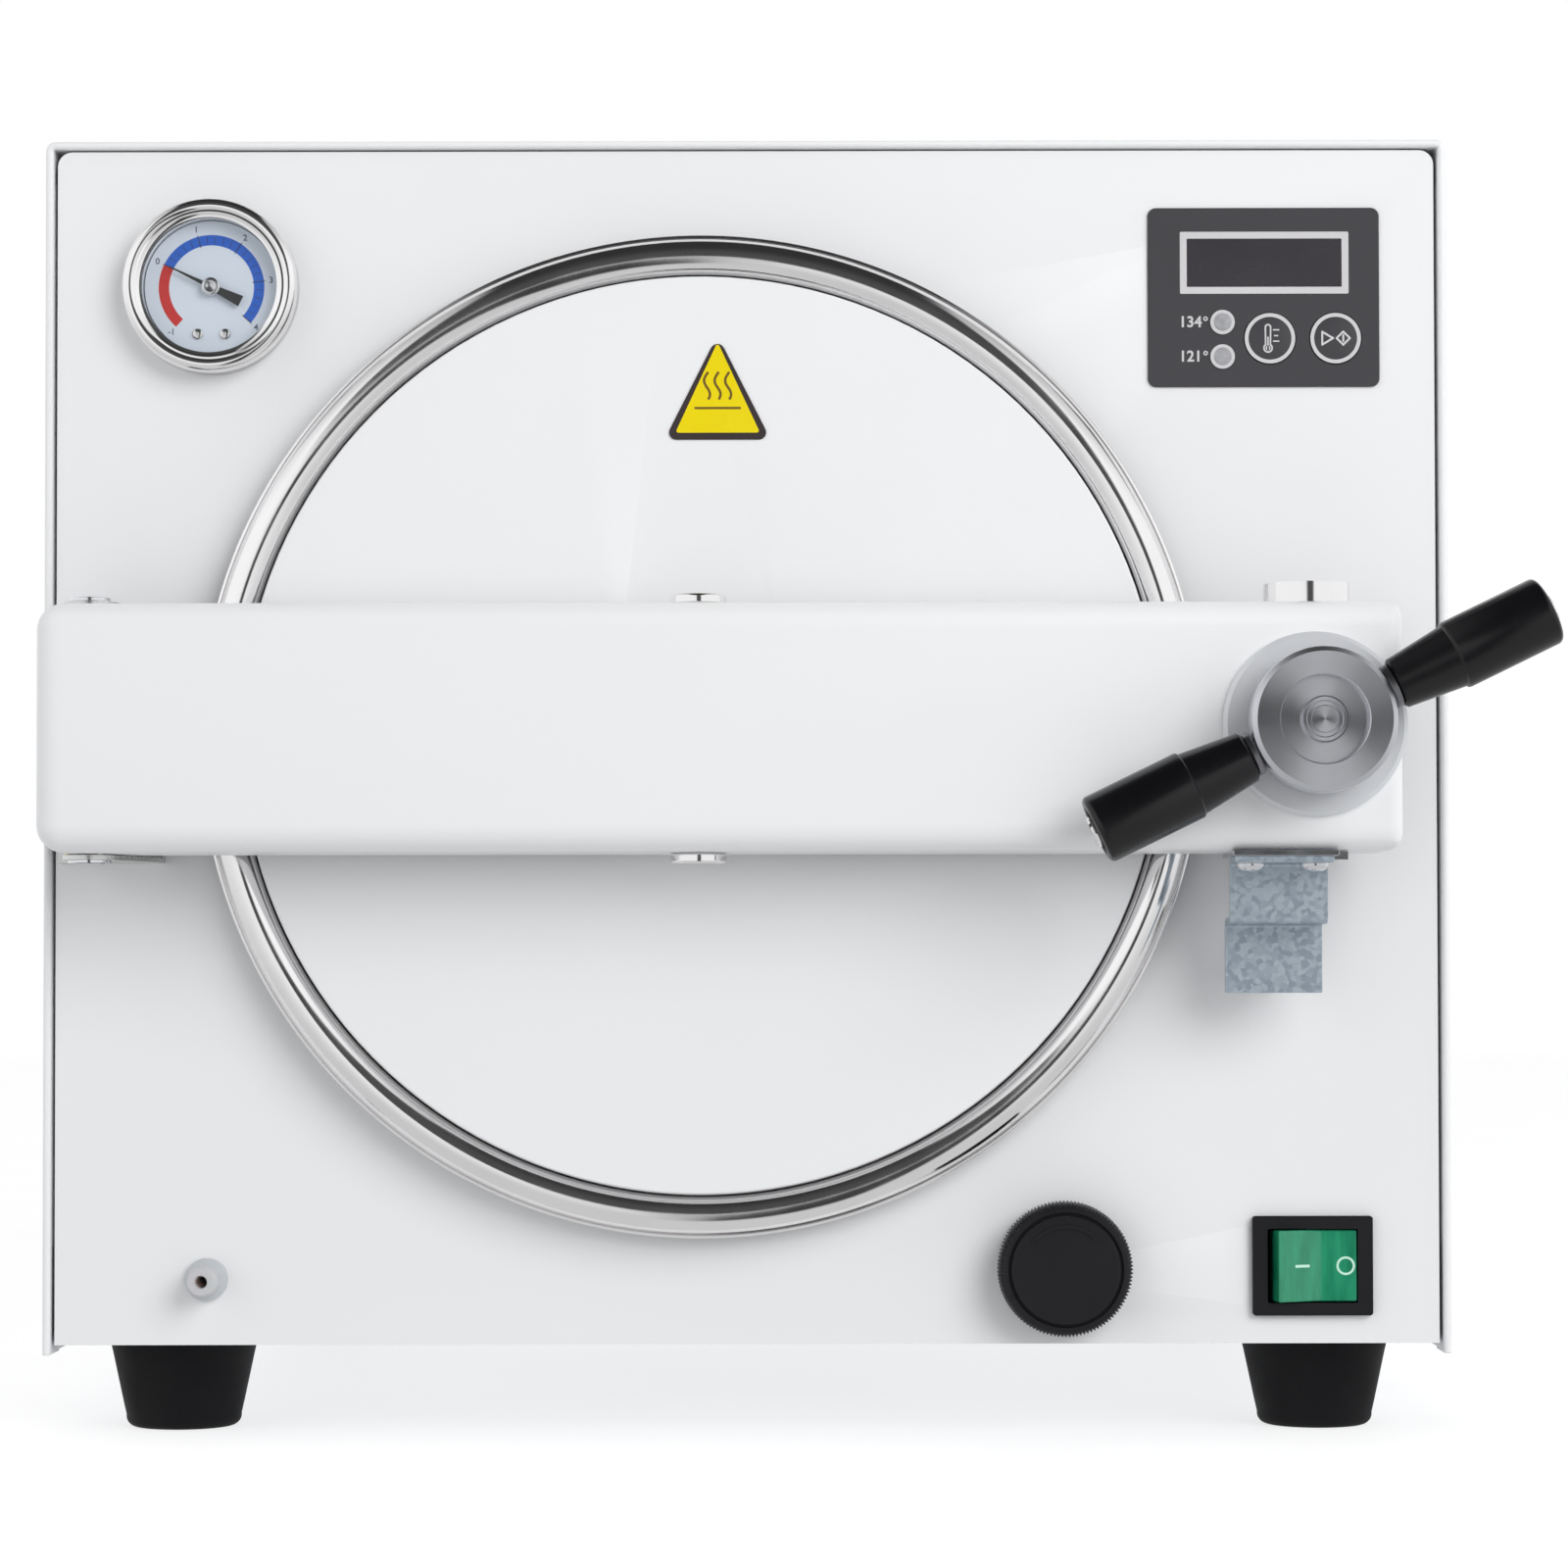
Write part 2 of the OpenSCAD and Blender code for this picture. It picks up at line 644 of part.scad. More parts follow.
module control_board() color("darkgreen") in_frame() {
    difference() {
        block([overlay_x[0] + 2, 8, overlay_z[0] + 2], [overlay_x[1] - 2, 9.6, overlay_z[1] - 2]);
        for (x = [overlay_x[0] + 6, overlay_x[1] - 6], z = [overlay_z[0] + 6, overlay_z[1] - 6])
            rod_y(x, z, 5, 12, 1.6);
    }
    for (x = key_x) {
        block([x - 3, 6.2, key_z - 3], [x + 3, 8, key_z + 3]);
        rod_y(x, key_z, 4.8, 6.2, 1.7);
    }
    block([display_x[0] + 2, 3, display_z[0] + 1], [display_x[1] - 2, 8, display_z[1] - 1]);
    block([169, 9.6, 300.5], [187, 16, 312.5]);
    block([131, 9.6, 298.5], [153, 18, 314.5]);
}

module power_board() color("darkgreen") in_frame() {
    block([185, 150, 60], [186.6, 290, 200]);
    for (y = [158, 282], z = [68, 192]) rod_x(y, z, 186.6, skin_in, 3);
    block([155, 170, 80], [185, 205, 112]);
    for (y = [225, 262]) rod_x(y, 100, 160, 185, 12);
    block([165, 165, 140], [185, 275, 156]);
    block([178, 225, 170], [185, 250, 190]);
}

// ---- Exhaust valve, drain and power switch ----

module valve_body() color("goldenrod") in_frame() difference() {
    union() {
        translate([valve_x, sheet, valve_z]) rotate([-90, 0, 0]) cylinder(h = 5, r = 11, $fn = 6);
        rod_y(valve_x, valve_z, -0.8, sheet, 6);
        rod_y(valve_x, valve_z, 6.5, 48, 8.5);
    }
    rod_y(valve_x, valve_z, -2, 30, stem_r + fit);
    rod_y(valve_x, valve_z, 40, 50, exhaust_r);
}

module valve_stem() color("goldenrod") in_frame() rod_y(valve_x, valve_z, -13, 28, stem_r);

module valve_knob() color("black") in_frame() difference() {
    turned_y(valve_x, valve_z) {
        span([0, -16], [knob_r - 4, -13]);
        span([0, -15.2], [knob_r - 2, -2]);
        span([0, -13.2], [knob_r, -2]);
        translate([knob_r - 2, -13.2]) circle(2);
    }
    rod_y(valve_x, valve_z, -13, 0, stem_r);
    turned_y(valve_x, valve_z) span([7, -8], [17, 0]);
    turned_y(valve_x, valve_z) span([14.6, -17], [15.3, -15.6]);
}

module drain_nipple() color("gainsboro") in_frame() difference() {
    union() {
        rod_y(drain_x, drain_z, -13, 0, nipple_r);
        rod_y(drain_x, drain_z, -2.4, 0, nipple_r + 1.8);
        rod_y(drain_x, drain_z, 0, 22, nipple_r);
        translate([drain_x, sheet, drain_z]) rotate([-90, 0, 0]) cylinder(h = 5, r = 7.5, $fn = 6);
    }
    rod_y(drain_x, drain_z, -14, 24, 2.2);
}

module switch_housing() color("black") in_frame() difference() {
    union() {
        sheet_y(-2.6, 0) rounded([switch_x - switch_w / 2, switch_z - switch_h / 2],
            [switch_x + switch_w / 2, switch_z + switch_h / 2], 1);
        sheet_y(0, 24) span([switch_x - 16, switch_z - 12.6], [switch_x + 16, switch_z + 12.6]);
        for (dx = [-9, 0, 9], dz = [-5, 5])
            block([switch_x + dx - 0.4, 24, switch_z + dz - 3.2],
                [switch_x + dx + 0.4, 32, switch_z + dz + 3.2]);
    }
    sheet_y(-4, 14) span([switch_x - 13.7, switch_z - 11.2], [switch_x + 13.7, switch_z + 11.2]);
    rod_z(switch_x, rocker_pivot_y, switch_z - 12.3, switch_z + 12.3, rocker_pin_r + fit);
}

// The rocker's outline about its pivot: two faces meeting in a shallow valley
module rocker_outline() {
    half = 12.8;
    rise = half * tan(rocker_swing);
    polygon([[-half + 1.6, -4.5], [-half, -1], [-half + 0.4, 5 + rise], [0, 5],
        [half - 0.4, 5 + rise], [half, -1], [half - 1.6, -4.5], [0, -6.5]]);
}

module switch_rocker() color("seagreen") in_frame() {
    translate([switch_x, rocker_pivot_y, 0]) rotate([0, 0, rocker_swing]) {
        translate([0, 0, switch_z - 10.9]) linear_extrude(21.8) mirror([0, 1, 0])
            rocker_outline();
        translate([0, 0, switch_z - 12]) cylinder(h = 24, r = rocker_pin_r);
    }
}

// ---- Rear fittings ----

module safety_valve() color("goldenrod") in_frame() difference() {
    union() {
        rod_y(door_x, safety_z, head_y(0, safety_z - door_z) - 2, 366, 5);
        translate([door_x, 366, safety_z]) rotate([-90, 0, 0]) cylinder(h = 10, r = 10, $fn = 6);
        rod_y(door_x, safety_z, 376, 446, safety_r);
    }
    rod_y(door_x, safety_z, 425, 450, stem_r + fit);
    for (a = [0, 60, 120]) translate([door_x, 441, safety_z]) rotate([0, a, 0])
        rod_x(0, 0, -12, 12, 1.5);
}

module safety_valve_ring() color("silver") in_frame() {
    rod_y(door_x, safety_z, 430, ring_y, stem_r);
    translate([door_x, ring_y, safety_z]) sphere(stem_r);
    turned_y(door_x, safety_z - ring_r + 1.4) translate([ring_r, ring_y]) circle(ring_wire_r);
}

module power_inlet() color("black") in_frame() {
    difference() {
        union() {
            sheet_y(hood_back, hood_back + 2.5)
                rounded([inlet_x - 17, inlet_z - 24], [inlet_x + 17, inlet_z + 24], 3);
            sheet_y(414, hood_back)
                span([inlet_x - 13.8, inlet_z - 20.3], [inlet_x + 13.8, inlet_z + 20.3]);
        }
        sheet_y(424, 450) span([inlet_x - 12.2, inlet_z - 17], [inlet_x + 12.2, inlet_z - 0.6]);
        sheet_y(430, 450) span([inlet_x - 11.5, inlet_z + 4.5], [inlet_x + 11.5, inlet_z + 17]);
    }
    for (pin = [[-7, -10.5], [7, -10.5], [0, -6.5]])
        block([inlet_x + pin[0] - 1, 424, inlet_z + pin[1] - 2],
            [inlet_x + pin[0] + 1, 433, inlet_z + pin[1] + 2]);
    sheet_y(430, hood_back + 1.5)
        span([inlet_x - 11.4, inlet_z + 4.6], [inlet_x + 11.4, inlet_z + 16.9]);
}

// ---- Door arm ----

module arm_side_outline(inset) {
    r = 8 - inset;
    span([-arm_front + inset + r, arm_low + inset], [-arm_back, arm_top - inset]);
    span([-arm_front + inset, arm_low + inset + r], [-arm_back, arm_top - inset - r]);
    for (z = [arm_low + inset + r, arm_top - inset - r])
        translate([-arm_front + inset + r, z]) circle(r);
}

module arm_front_outline() {
    span([arm_left, arm_low + 7], [0, arm_top - 7]);
    span([arm_left + 7, arm_low], [0, arm_top]);
    for (z = [arm_low + 7, arm_top - 7]) translate([arm_left + 7, z]) circle(7);
    rounded([-20, arm_low], [arm_right, arm_top], 3);
}

module arm_plan_outline() {
    span([arm_left, -arm_front + 8], [arm_right, -arm_back]);
    span([arm_left + 8, -arm_front], [arm_right - 4, -arm_front + 9]);
    translate([arm_left + 8, -arm_front + 8]) circle(8);
    span([arm_right - 8, -arm_front + 4], [arm_right, -arm_front + 9]);
    translate([arm_right - 4, -arm_front + 4]) circle(4);
}

module door_arm() color("white") in_frame() difference() {
    intersection() {
        bar_x(arm_left, arm_right) arm_side_outline(0);
        sheet_y(-arm_front, -arm_back) arm_front_outline();
        translate([0, 0, arm_low]) linear_extrude(arm_h) arm_plan_outline();
    }
    bar_x(arm_left + arm_wall, arm_right - arm_wall) {
        arm_side_outline(arm_wall);
        span([-arm_front + 20, arm_low + arm_wall], [0, arm_top - arm_wall]);
    }
    rod_z(hinge_x, hinge_y, arm_low - 1, arm_top + 1, bush_r);
    rod_z(door_x, bolt_y, arm_low - 1, arm_top + 1, bolt_r);
    rod_z(lock_x, bolt_y, arm_low - 1, door_z, pin_foot_r);
    rod_z(lock_x, bolt_y, door_z, arm_top + 1, pin_r);
    rod_y(lock_x, door_z, -arm_front - 1, -arm_front + 10, spindle_r + 0.5);
    for (x = bracket_screw_x) rod_z(x, bracket_screw_y, arm_low - 1, door_z, 2);
}

module hinge_bushes() color("goldenrod") in_frame() for (top = [0, 1])
    translate([hinge_x, hinge_y, top ? arm_top : arm_low]) mirror([0, 0, 1 - top])
        rotate_extrude() span([hinge_pin_r + fit, -arm_wall], [bush_r, 0]);

module door_cross_bolt() color("silver") in_frame() {
    rod_z(door_x, bolt_y, arm_low - 2, arm_top + 2, bolt_r);
    rod_z(door_x, bolt_y, arm_low - bolt_head_t, arm_low, bolt_head_r);
    rod_z(door_x, bolt_y, arm_top, arm_top + bolt_head_t, bolt_head_r);
}

module lock_cross_pin() color("silver") in_frame() difference() {
    union() {
        rod_z(lock_x, bolt_y, arm_low, arm_low + arm_wall, pin_foot_r);
        rod_z(lock_x, bolt_y, arm_low + arm_wall, arm_top + pin_proud, pin_r);
    }
    rod_y(lock_x, door_z, -60, -10, spindle_r + fit);
}

module pin_plate() color("silver") in_frame() difference() {
    union() {
        block([plate_x[0], -56, arm_low - plate_t], [plate_x[1], -24, arm_low]);
        block([plate_x[1] - 1, -51, arm_low - 2.7], [plate_x[1] + plate_tab, -45, arm_low - 0.2]);
    }
    for (x = bracket_screw_x) rod_z(x, bracket_screw_y, 100, door_z, m4_hole_r);
}

module interlock_bracket() color("lightsteelblue") in_frame() difference() {
    bar_x(bracket_x - bracket_w / 2, bracket_x + bracket_w / 2) {
        top = arm_low - plate_t;
        upper = bracket_upper_back;
        lower = bracket_lower_back;
        span([-55, top - bracket_t], [upper, top]);
        span([upper - bracket_t, bracket_step_z], [upper, top]);
        span([upper - bracket_t, bracket_step_z], [lower, bracket_step_z + bracket_t]);
        span([lower - bracket_t, bracket_low], [lower, bracket_step_z + bracket_t]);
    }
    for (x = bracket_screw_x) rod_z(x, bracket_screw_y, 100, door_z, m4_hole_r);
}

module bracket_screws() color("silver") in_frame() for (x = bracket_screw_x)
    translate([x, bracket_screw_y, arm_low - plate_t - bracket_t]) difference() {
        union() {
            intersection() {
                translate([0, 0, 1.6]) sphere(4.6);
                translate([0, 0, -3]) cylinder(h = 3, r = 4.3);
            }
            cylinder(h = plate_t + bracket_t + arm_wall, r = 2);
        }
        for (a = [0, 90]) rotate([0, 0, a])
            translate([-2.6, -0.45, -4]) cube([5.2, 0.9, 2.4]);
    }

module lock_base_disc() color("silver") in_frame() turned_y(lock_x, door_z) difference() {
    union() {
        span([spindle_r + 0.5, -arm_front - disc_t], [disc_r - 1, -arm_front]);
        span([spindle_r + 0.5, -arm_front - disc_t + 1], [disc_r, -arm_front]);
    }
    span([18, -arm_front - disc_t - 1], [19, -arm_front - disc_t + 0.6]);
}

// ---- Door disc ----

module door_plate() color("silver") in_frame() difference() {
    union() {
        rod_y(door_x, door_z, plate_front, plate_back, gasket_r[1] + 0.8);
        block([door_x - boss_half, boss_front, door_z - boss_half_h],
            [door_x + boss_half, plate_front, door_z + boss_half_h]);
    }
    turned_y(door_x, door_z) span([gasket_groove_r[0], -10], [gasket_groove_r[1], 0]);
    rod_z(door_x, bolt_y, 100, 300, bolt_r + fit);
}

module door_cover() color("white") in_frame() difference() {
    rod_y(door_x, door_z, cover_front, plate_front, rim_in - 0.3);
    block([door_x - boss_half - 0.5, -20, door_z - boss_half_h - 0.5],
        [door_x + boss_half + 0.5, 0, door_z + boss_half_h + 0.5]);
}

module door_rim() color("silver") in_frame() turned_y(door_x, door_z) {
    tube = (rim_r - rim_lip - rim_in) / 2;
    span([gasket_r[1] + 0.8, -10], [rim_r, gasket_front]);
    span([rim_in, rim_front + tube], [rim_in + 2 * tube, -10]);
    translate([rim_in + tube, rim_front + tube]) circle(tube);
}

module door_gasket() color("whitesmoke") in_frame() turned_y(door_x, door_z) {
    span([gasket_r[0], plate_back], [gasket_r[1], gasket_front]);
    span([gasket_groove_r[0], -10], [gasket_groove_r[1], plate_back]);
}

module hot_surface_label() color("gold") in_frame() sheet_y(cover_front - 0.4, cover_front)
    translate([label_x, label_z]) hull() {
        for (side = [-1, 1]) translate([side * 13.9, 1]) circle(2.2, $fn = 32);
        translate([0, 28.4]) circle(2.2, $fn = 32);
    }

// ---- Lock ----

module at_grips() for (side = [0, 1])
    translate([lock_x, bar_y, door_z]) rotate([0, -bar_angle - 180 * side, 0])
        rotate([0, 90, 0]) children();

module thrust_washer() color("ivory") in_frame() turned_y(lock_x, door_z)
    span([spindle_r + 0.2, -hub_back], [12, -washer_back]);

module lock_spindle() color("silver") in_frame() turned_y(lock_x, door_z) {
    span([0, -hub_front + hub_recess_d], [spindle_r, spindle_tip - 1]);
    span([0, spindle_tip - 1.5], [spindle_r - 1, spindle_tip]);
}

module lock_hub() color("silver") in_frame() {
    difference() {
        turned_y(lock_x, door_z) {
            span([spindle_r, -hub_front], [hub_r - 1, -hub_back]);
            span([spindle_r, -hub_front + 1], [hub_r, -hub_back - 1]);
        }
        rod_y(lock_x, door_z, -hub_front - 1, -hub_front + hub_recess_d, hub_recess_r);
        at_grips() translate([0, 0, rod_start]) cylinder(h = 20, r = rod_r);
    }
    turned_y(lock_x, door_z) difference() {
        span([0, -hub_front - 1], [hub_bolt_r, -hub_front + hub_recess_d]);
        span([0, -hub_front - 2], [3.8, -hub_front + 0.6]);
    }
}

module handle_rods() color("dimgray") in_frame() at_grips() difference() {
    union() {
        translate([0, 0, rod_start]) cylinder(h = rod_end - rod_start, r = rod_r);
        translate([0, 0, grip_start - rod_collar]) cylinder(h = rod_collar, r = rod_r + 1);
        translate([0, 0, rod_end]) cylinder(h = rod_neck, r = m4_hole_r);
        translate([0, 0, rod_end + rod_neck])
            cylinder(h = bar_reach - rod_end - rod_neck, r = 4.8);
    }
    translate([-6, -0.7, bar_reach - 1.2]) cube([12, 1.4, 2]);
}

module handle_grips() color("black") in_frame() at_grips() rotate_extrude() difference() {
    union() {
        polygon([[rod_r, grip_start], [7.5, grip_start], [9.5, 42], [grip_r, 42.6],
            [grip_r, grip_end - grip_round], [grip_r - grip_round, grip_end],
            [rod_r, grip_end]]);
        translate([grip_r - grip_round, grip_end - grip_round]) circle(grip_round);
        span([m4_hole_r, rod_end], [5.5, rod_end + rod_neck]);
    }
    span([0, rod_end + rod_neck], [6.8, grip_end + 1]);
    span([0, 0], [rod_r, rod_end]);
}

base_tray();
front_panel();
rear_panel();
hood();
case_screws();
feet();
foot_screws();
chamber();
insulation_jacket();
chamber_cradles();
heater_element();
temperature_probe();
tray_rack();
trays();
pipes();
hinge_bracket();
hinge_pin();
hinge_clips();
catch_block();
panel_screws();
door_sensor();
gauge_case();
gauge_bezel();
gauge_dial();
gauge_lens();
gauge_needle();
control_overlay();
display_window();
indicator_lamps();
key_temperature();
key_start();
control_board();
power_board();
valve_body();
valve_stem();
valve_knob();
drain_nipple();
switch_housing();
switch_rocker();
safety_valve();
safety_valve_ring();
power_inlet();
door_arm();
hinge_bushes();
door_cross_bolt();
lock_cross_pin();
pin_plate();
interlock_bracket();
bracket_screws();
lock_base_disc();
door_plate();
door_cover();
door_rim();
door_gasket();
hot_surface_label();
thrust_washer();
lock_spindle();
lock_hub();
handle_rods();
handle_grips();
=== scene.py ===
"""Looks of a benchtop autoclave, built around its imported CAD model.

Pieces are drawn in millimetres in the front panel's own axes: X to the right from the panel's
middle, Y to the rear from its front face, Z up from its lower edge. make() turns them into metres
in the shared frame.
"""

import json
import math

import bmesh
import bpy
from mathutils import Matrix, Vector

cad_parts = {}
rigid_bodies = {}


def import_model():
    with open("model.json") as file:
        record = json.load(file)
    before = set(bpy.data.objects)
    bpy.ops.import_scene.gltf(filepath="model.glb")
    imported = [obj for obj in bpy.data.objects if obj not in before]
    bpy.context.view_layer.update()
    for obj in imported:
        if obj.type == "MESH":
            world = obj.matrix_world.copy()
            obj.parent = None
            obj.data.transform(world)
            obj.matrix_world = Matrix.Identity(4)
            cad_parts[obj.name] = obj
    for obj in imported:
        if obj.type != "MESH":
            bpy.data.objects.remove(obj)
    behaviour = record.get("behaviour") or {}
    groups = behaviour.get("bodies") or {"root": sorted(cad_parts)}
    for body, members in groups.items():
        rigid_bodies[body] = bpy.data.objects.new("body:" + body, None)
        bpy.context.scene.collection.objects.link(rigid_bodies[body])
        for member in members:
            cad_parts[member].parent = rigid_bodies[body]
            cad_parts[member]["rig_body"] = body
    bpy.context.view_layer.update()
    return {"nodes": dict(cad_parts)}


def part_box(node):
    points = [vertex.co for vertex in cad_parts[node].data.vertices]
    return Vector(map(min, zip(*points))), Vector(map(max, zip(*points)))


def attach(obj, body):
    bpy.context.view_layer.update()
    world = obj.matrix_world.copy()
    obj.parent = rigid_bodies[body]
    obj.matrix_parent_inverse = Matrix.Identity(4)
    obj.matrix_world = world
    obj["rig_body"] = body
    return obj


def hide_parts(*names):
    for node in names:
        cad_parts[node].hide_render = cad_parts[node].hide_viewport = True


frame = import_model()

MM = 0.001
SCENE = bpy.context.scene
panel_low, panel_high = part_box("front_panel")
PANEL = Vector(((panel_low.x + panel_high.x) / 2, panel_low.y, panel_low.z))
BODY_OF = {name: node["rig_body"] for name, node in frame["nodes"].items()}


# ---- Places taken from the frame ----

def box_mm(node):
    """Lowest and highest corners of a CAD node, in millimetres in the panel's axes."""
    low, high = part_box(node)
    return (low - PANEL) / MM, (high - PANEL) / MM


def middle(node):
    """Middle of a CAD node's box, in the panel's axes."""
    low, high = box_mm(node)
    return (low + high) / 2


def facing_spot(node):
    """The point of the panel's plane in front of a CAD node's middle."""
    spot = middle(node)
    return (spot.x, 0, spot.z)


def half_width(node):
    low, high = box_mm(node)
    return (high.x - low.x) / 2


def cad_solid(node):
    """A CAD node's mesh, in metres in the shared frame, with its faces joined up."""
    bm = bmesh.new()
    bm.from_mesh(frame["nodes"][node].data)
    bmesh.ops.remove_doubles(bm, verts=bm.verts, dist=1e-6)
    return bm


def solids(node):
    """The box of each separate solid in a CAD node, in the panel's axes."""
    bm = cad_solid(node)
    left = set(bm.verts)
    boxes = []
    while left:
        group, frontier = set(), [left.pop()]
        while frontier:
            vert = frontier.pop()
            group.add(vert)
            for near in (edge.other_vert(vert) for edge in vert.link_edges):
                if near in left:
                    left.remove(near)
                    frontier.append(near)
        points = [(v.co - PANEL) / MM for v in group]
        boxes.append((Vector(map(min, zip(*points))), Vector(map(max, zip(*points)))))
    bm.free()
    return sorted(boxes, key=lambda pair: tuple(round(c, 2) for c in pair[0]))


# ---- Outlines, as lists of (u, v) points ----

def circle(radius, count=64, at=(0, 0)):
    turns = [2 * math.pi * i / count for i in range(count)]
    return [(at[0] + radius * math.cos(t), at[1] + radius * math.sin(t)) for t in turns]


def arc(radius, start, end, steps, at=(0, 0)):
    """Points from one angle to another, in degrees."""
    turns = [math.radians(start + (end - start) * i / steps) for i in range(steps + 1)]
    return [(at[0] + radius * math.cos(t), at[1] + radius * math.sin(t)) for t in turns]


def filleted(points, radius, steps=6, closed=True):
    """The same line with its corners turned into arcs."""
    out = []
    for i, point in enumerate(points):
        if not closed and i in (0, len(points) - 1):
            out.append(tuple(point))
            continue
        here = Vector(point)
        before = (Vector(points[i - 1]) - here).normalized()
        after = (Vector(points[(i + 1) % len(points)]) - here).normalized()
        half = before.angle(after) / 2
        centre = here + (before + after).normalized() * radius / math.sin(half)
        start = here + before * radius / math.tan(half) - centre
        end = here + after * radius / math.tan(half) - centre
        sweep = start.angle(end)
        for k in range(steps + 1):
            a = math.sin((1 - k / steps) * sweep) / math.sin(sweep)
            b = math.sin(k / steps * sweep) / math.sin(sweep)
            out.append(tuple(centre + start * a + end * b))
    return out


def rectangle(width, height, radius, at=(0, 0), steps=6):
    u, v = width / 2, height / 2
    corners = [(at[0] + a * u, at[1] + b * v) for a, b in ((-1, -1), (1, -1), (1, 1), (-1, 1))]
    return filleted(corners, radius, steps) if radius else corners


def band(path, width):
    """Outline of a band of that width along an open path."""
    sides = ([], [])
    for i, point in enumerate(path):
        before, after = path[max(i - 1, 0)], path[min(i + 1, len(path) - 1)]
        along = (Vector(after) - Vector(before)).normalized()
        across = Vector((-along.y, along.x)) * width / 2
        sides[0].append(tuple(Vector(point) + across))
        sides[1].append(tuple(Vector(point) - across))
    return sides[0] + sides[1][::-1]


# ---- Solids ----

def skin(bm, rings, closed=False):
    """Joins rings of points into one solid, with flat ends unless the last meets the first."""
    made = [[bm.verts.new(point) for point in ring] for ring in rings]
    following = made[1:] + made[:1] if closed else made[1:]
    for a, b in zip(made, following):
        for i in range(len(a)):
            j = (i + 1) % len(a)
            bm.faces.new((a[i], a[j], b[j], b[i]))
    if not closed:
        bm.faces.new(made[0])
        bm.faces.new(made[-1])


def plate(bm, outline, front, back):
    """A flat outline of (x, z) points, thickened from front to back along Y."""
    skin(bm, [[(x, y, z) for x, z in outline] for y in (front, back)])


def hollow_plate(bm, outer, inner, front, back):
    """A plate with a hole; both outlines have as many points."""
    loops = [(outer, front), (outer, back), (inner, back), (inner, front)]
    skin(bm, [[(x, y, z) for x, z in outline] for outline, y in loops], closed=True)


def lathe(bm, profile, segments=96, closed=False, at=(0, 0), ripple=None):
    """Turns (radius, y) points about a Y axis at (x, z). ripple(radius, turn) adds to the radius."""
    rings = []
    for radius, y in profile:
        ring = []
        for i in range(segments):
            turn = 2 * math.pi * i / segments
            reach = radius + (ripple(radius, turn) if ripple else 0)
            ring.append((at[0] + reach * math.cos(turn), y, at[1] + reach * math.sin(turn)))
        rings.append(ring)
    skin(bm, rings, closed)


def lettering(bm, text, size, at, front, back, align="CENTER"):
    """Digits that face the front, as thin solids."""
    curve = bpy.data.curves.new("digits", "FONT")
    curve.body = text
    curve.size = size
    curve.align_x = align
    curve.align_y = "CENTER"
    curve.extrude = (back - front) / 2
    curve.offset = size * 0.022
    curve.resolution_u = 3
    writer = bpy.data.objects.new("digits", curve)
    SCENE.collection.objects.link(writer)
    mesh = bpy.data.meshes.new_from_object(writer.evaluated_get(bpy.context.evaluated_depsgraph_get()))
    upright = Matrix.Translation((at[0], (front + back) / 2, at[1])) @ Matrix.Rotation(math.pi / 2, 4, "X")
    mesh.transform(upright)
    bm.from_mesh(mesh)
    bmesh.ops.remove_doubles(bm, verts=bm.verts, dist=1e-4)
    bpy.data.objects.remove(writer)
    bpy.data.curves.remove(curve)
    bpy.data.meshes.remove(mesh)


def drawn_moved(bm, matrix, draw, *shape):
    """Draws into the solid, and moves only what was drawn."""
    size = len(bm.verts)
    draw(bm, *shape)
    bm.verts.ensure_lookup_table()
    bmesh.ops.transform(bm, matrix=matrix, verts=bm.verts[size:])


# ---- From a solid to a finished piece ----

def to_object(name, bm, turn=None):
    """An object in metres from a solid in millimetres, which it uses up."""
    bmesh.ops.recalc_face_normals(bm, faces=bm.faces)
    bmesh.ops.transform(bm, matrix=Matrix.Scale(MM, 4) @ (turn or Matrix()), verts=bm.verts)
    mesh = bpy.data.meshes.new(name)
    bm.to_mesh(mesh)
    bm.free()
    thing = bpy.data.objects.new(name, mesh)
    SCENE.collection.objects.link(thing)
    return thing


def soften(piece, width, angle=38, segments=2):
    """Rounds the piece's sharp edges by that many millimetres."""
    bevel = piece.modifiers.new("edges", "BEVEL")
    bevel.width = width * MM
    bevel.segments = segments
    bevel.limit_method = "ANGLE"
    bevel.angle_limit = math.radians(angle)
    bevel.miter_outer = "MITER_ARC"
    bevel.harden_normals = True
    bevel.use_clamp_overlap = True


def settle(piece):
    """Applies the piece's modifiers to its mesh."""
    evaluated = piece.evaluated_get(bpy.context.evaluated_depsgraph_get())
    mesh = bpy.data.meshes.new_from_object(evaluated)
    piece.modifiers.clear()
    piece.data = mesh


def make(name, bm, finish, node=None, on=None, at=(0, 0, 0), turn=None, edge=0, slot=None, crease=38):
    """A piece from a solid in millimetres about a point of the panel's axes. node is the CAD node
    that it stands for, or on is the one that it sits on."""
    piece = to_object(name, bm, turn)
    piece.data.shade_smooth()
    piece.data.set_sharp_from_angle(angle=math.radians(crease))
    piece.data.materials.append(LOOKS[finish])
    piece.location = PANEL + Vector(at) * MM
    if edge:
        soften(piece, edge)
    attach(piece, BODY_OF[node or on])
    if node:
        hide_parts(node)
    return piece


def refined(node, finish, edge, segments=2, slot=None):
    """The CAD node's own shape with softened edges."""
    bm = cad_solid(node)
    bmesh.ops.dissolve_limit(bm, angle_limit=math.radians(0.6), verts=bm.verts, edges=bm.edges)
    centre = middle(node)
    bmesh.ops.transform(bm, matrix=Matrix.Translation(-(PANEL / MM + centre)) @ Matrix.Scale(1 / MM, 4),
                        verts=bm.verts)
    piece = make(node + "_shell", bm, finish, node, at=centre, slot=slot)
    soften(piece, edge, segments=segments)


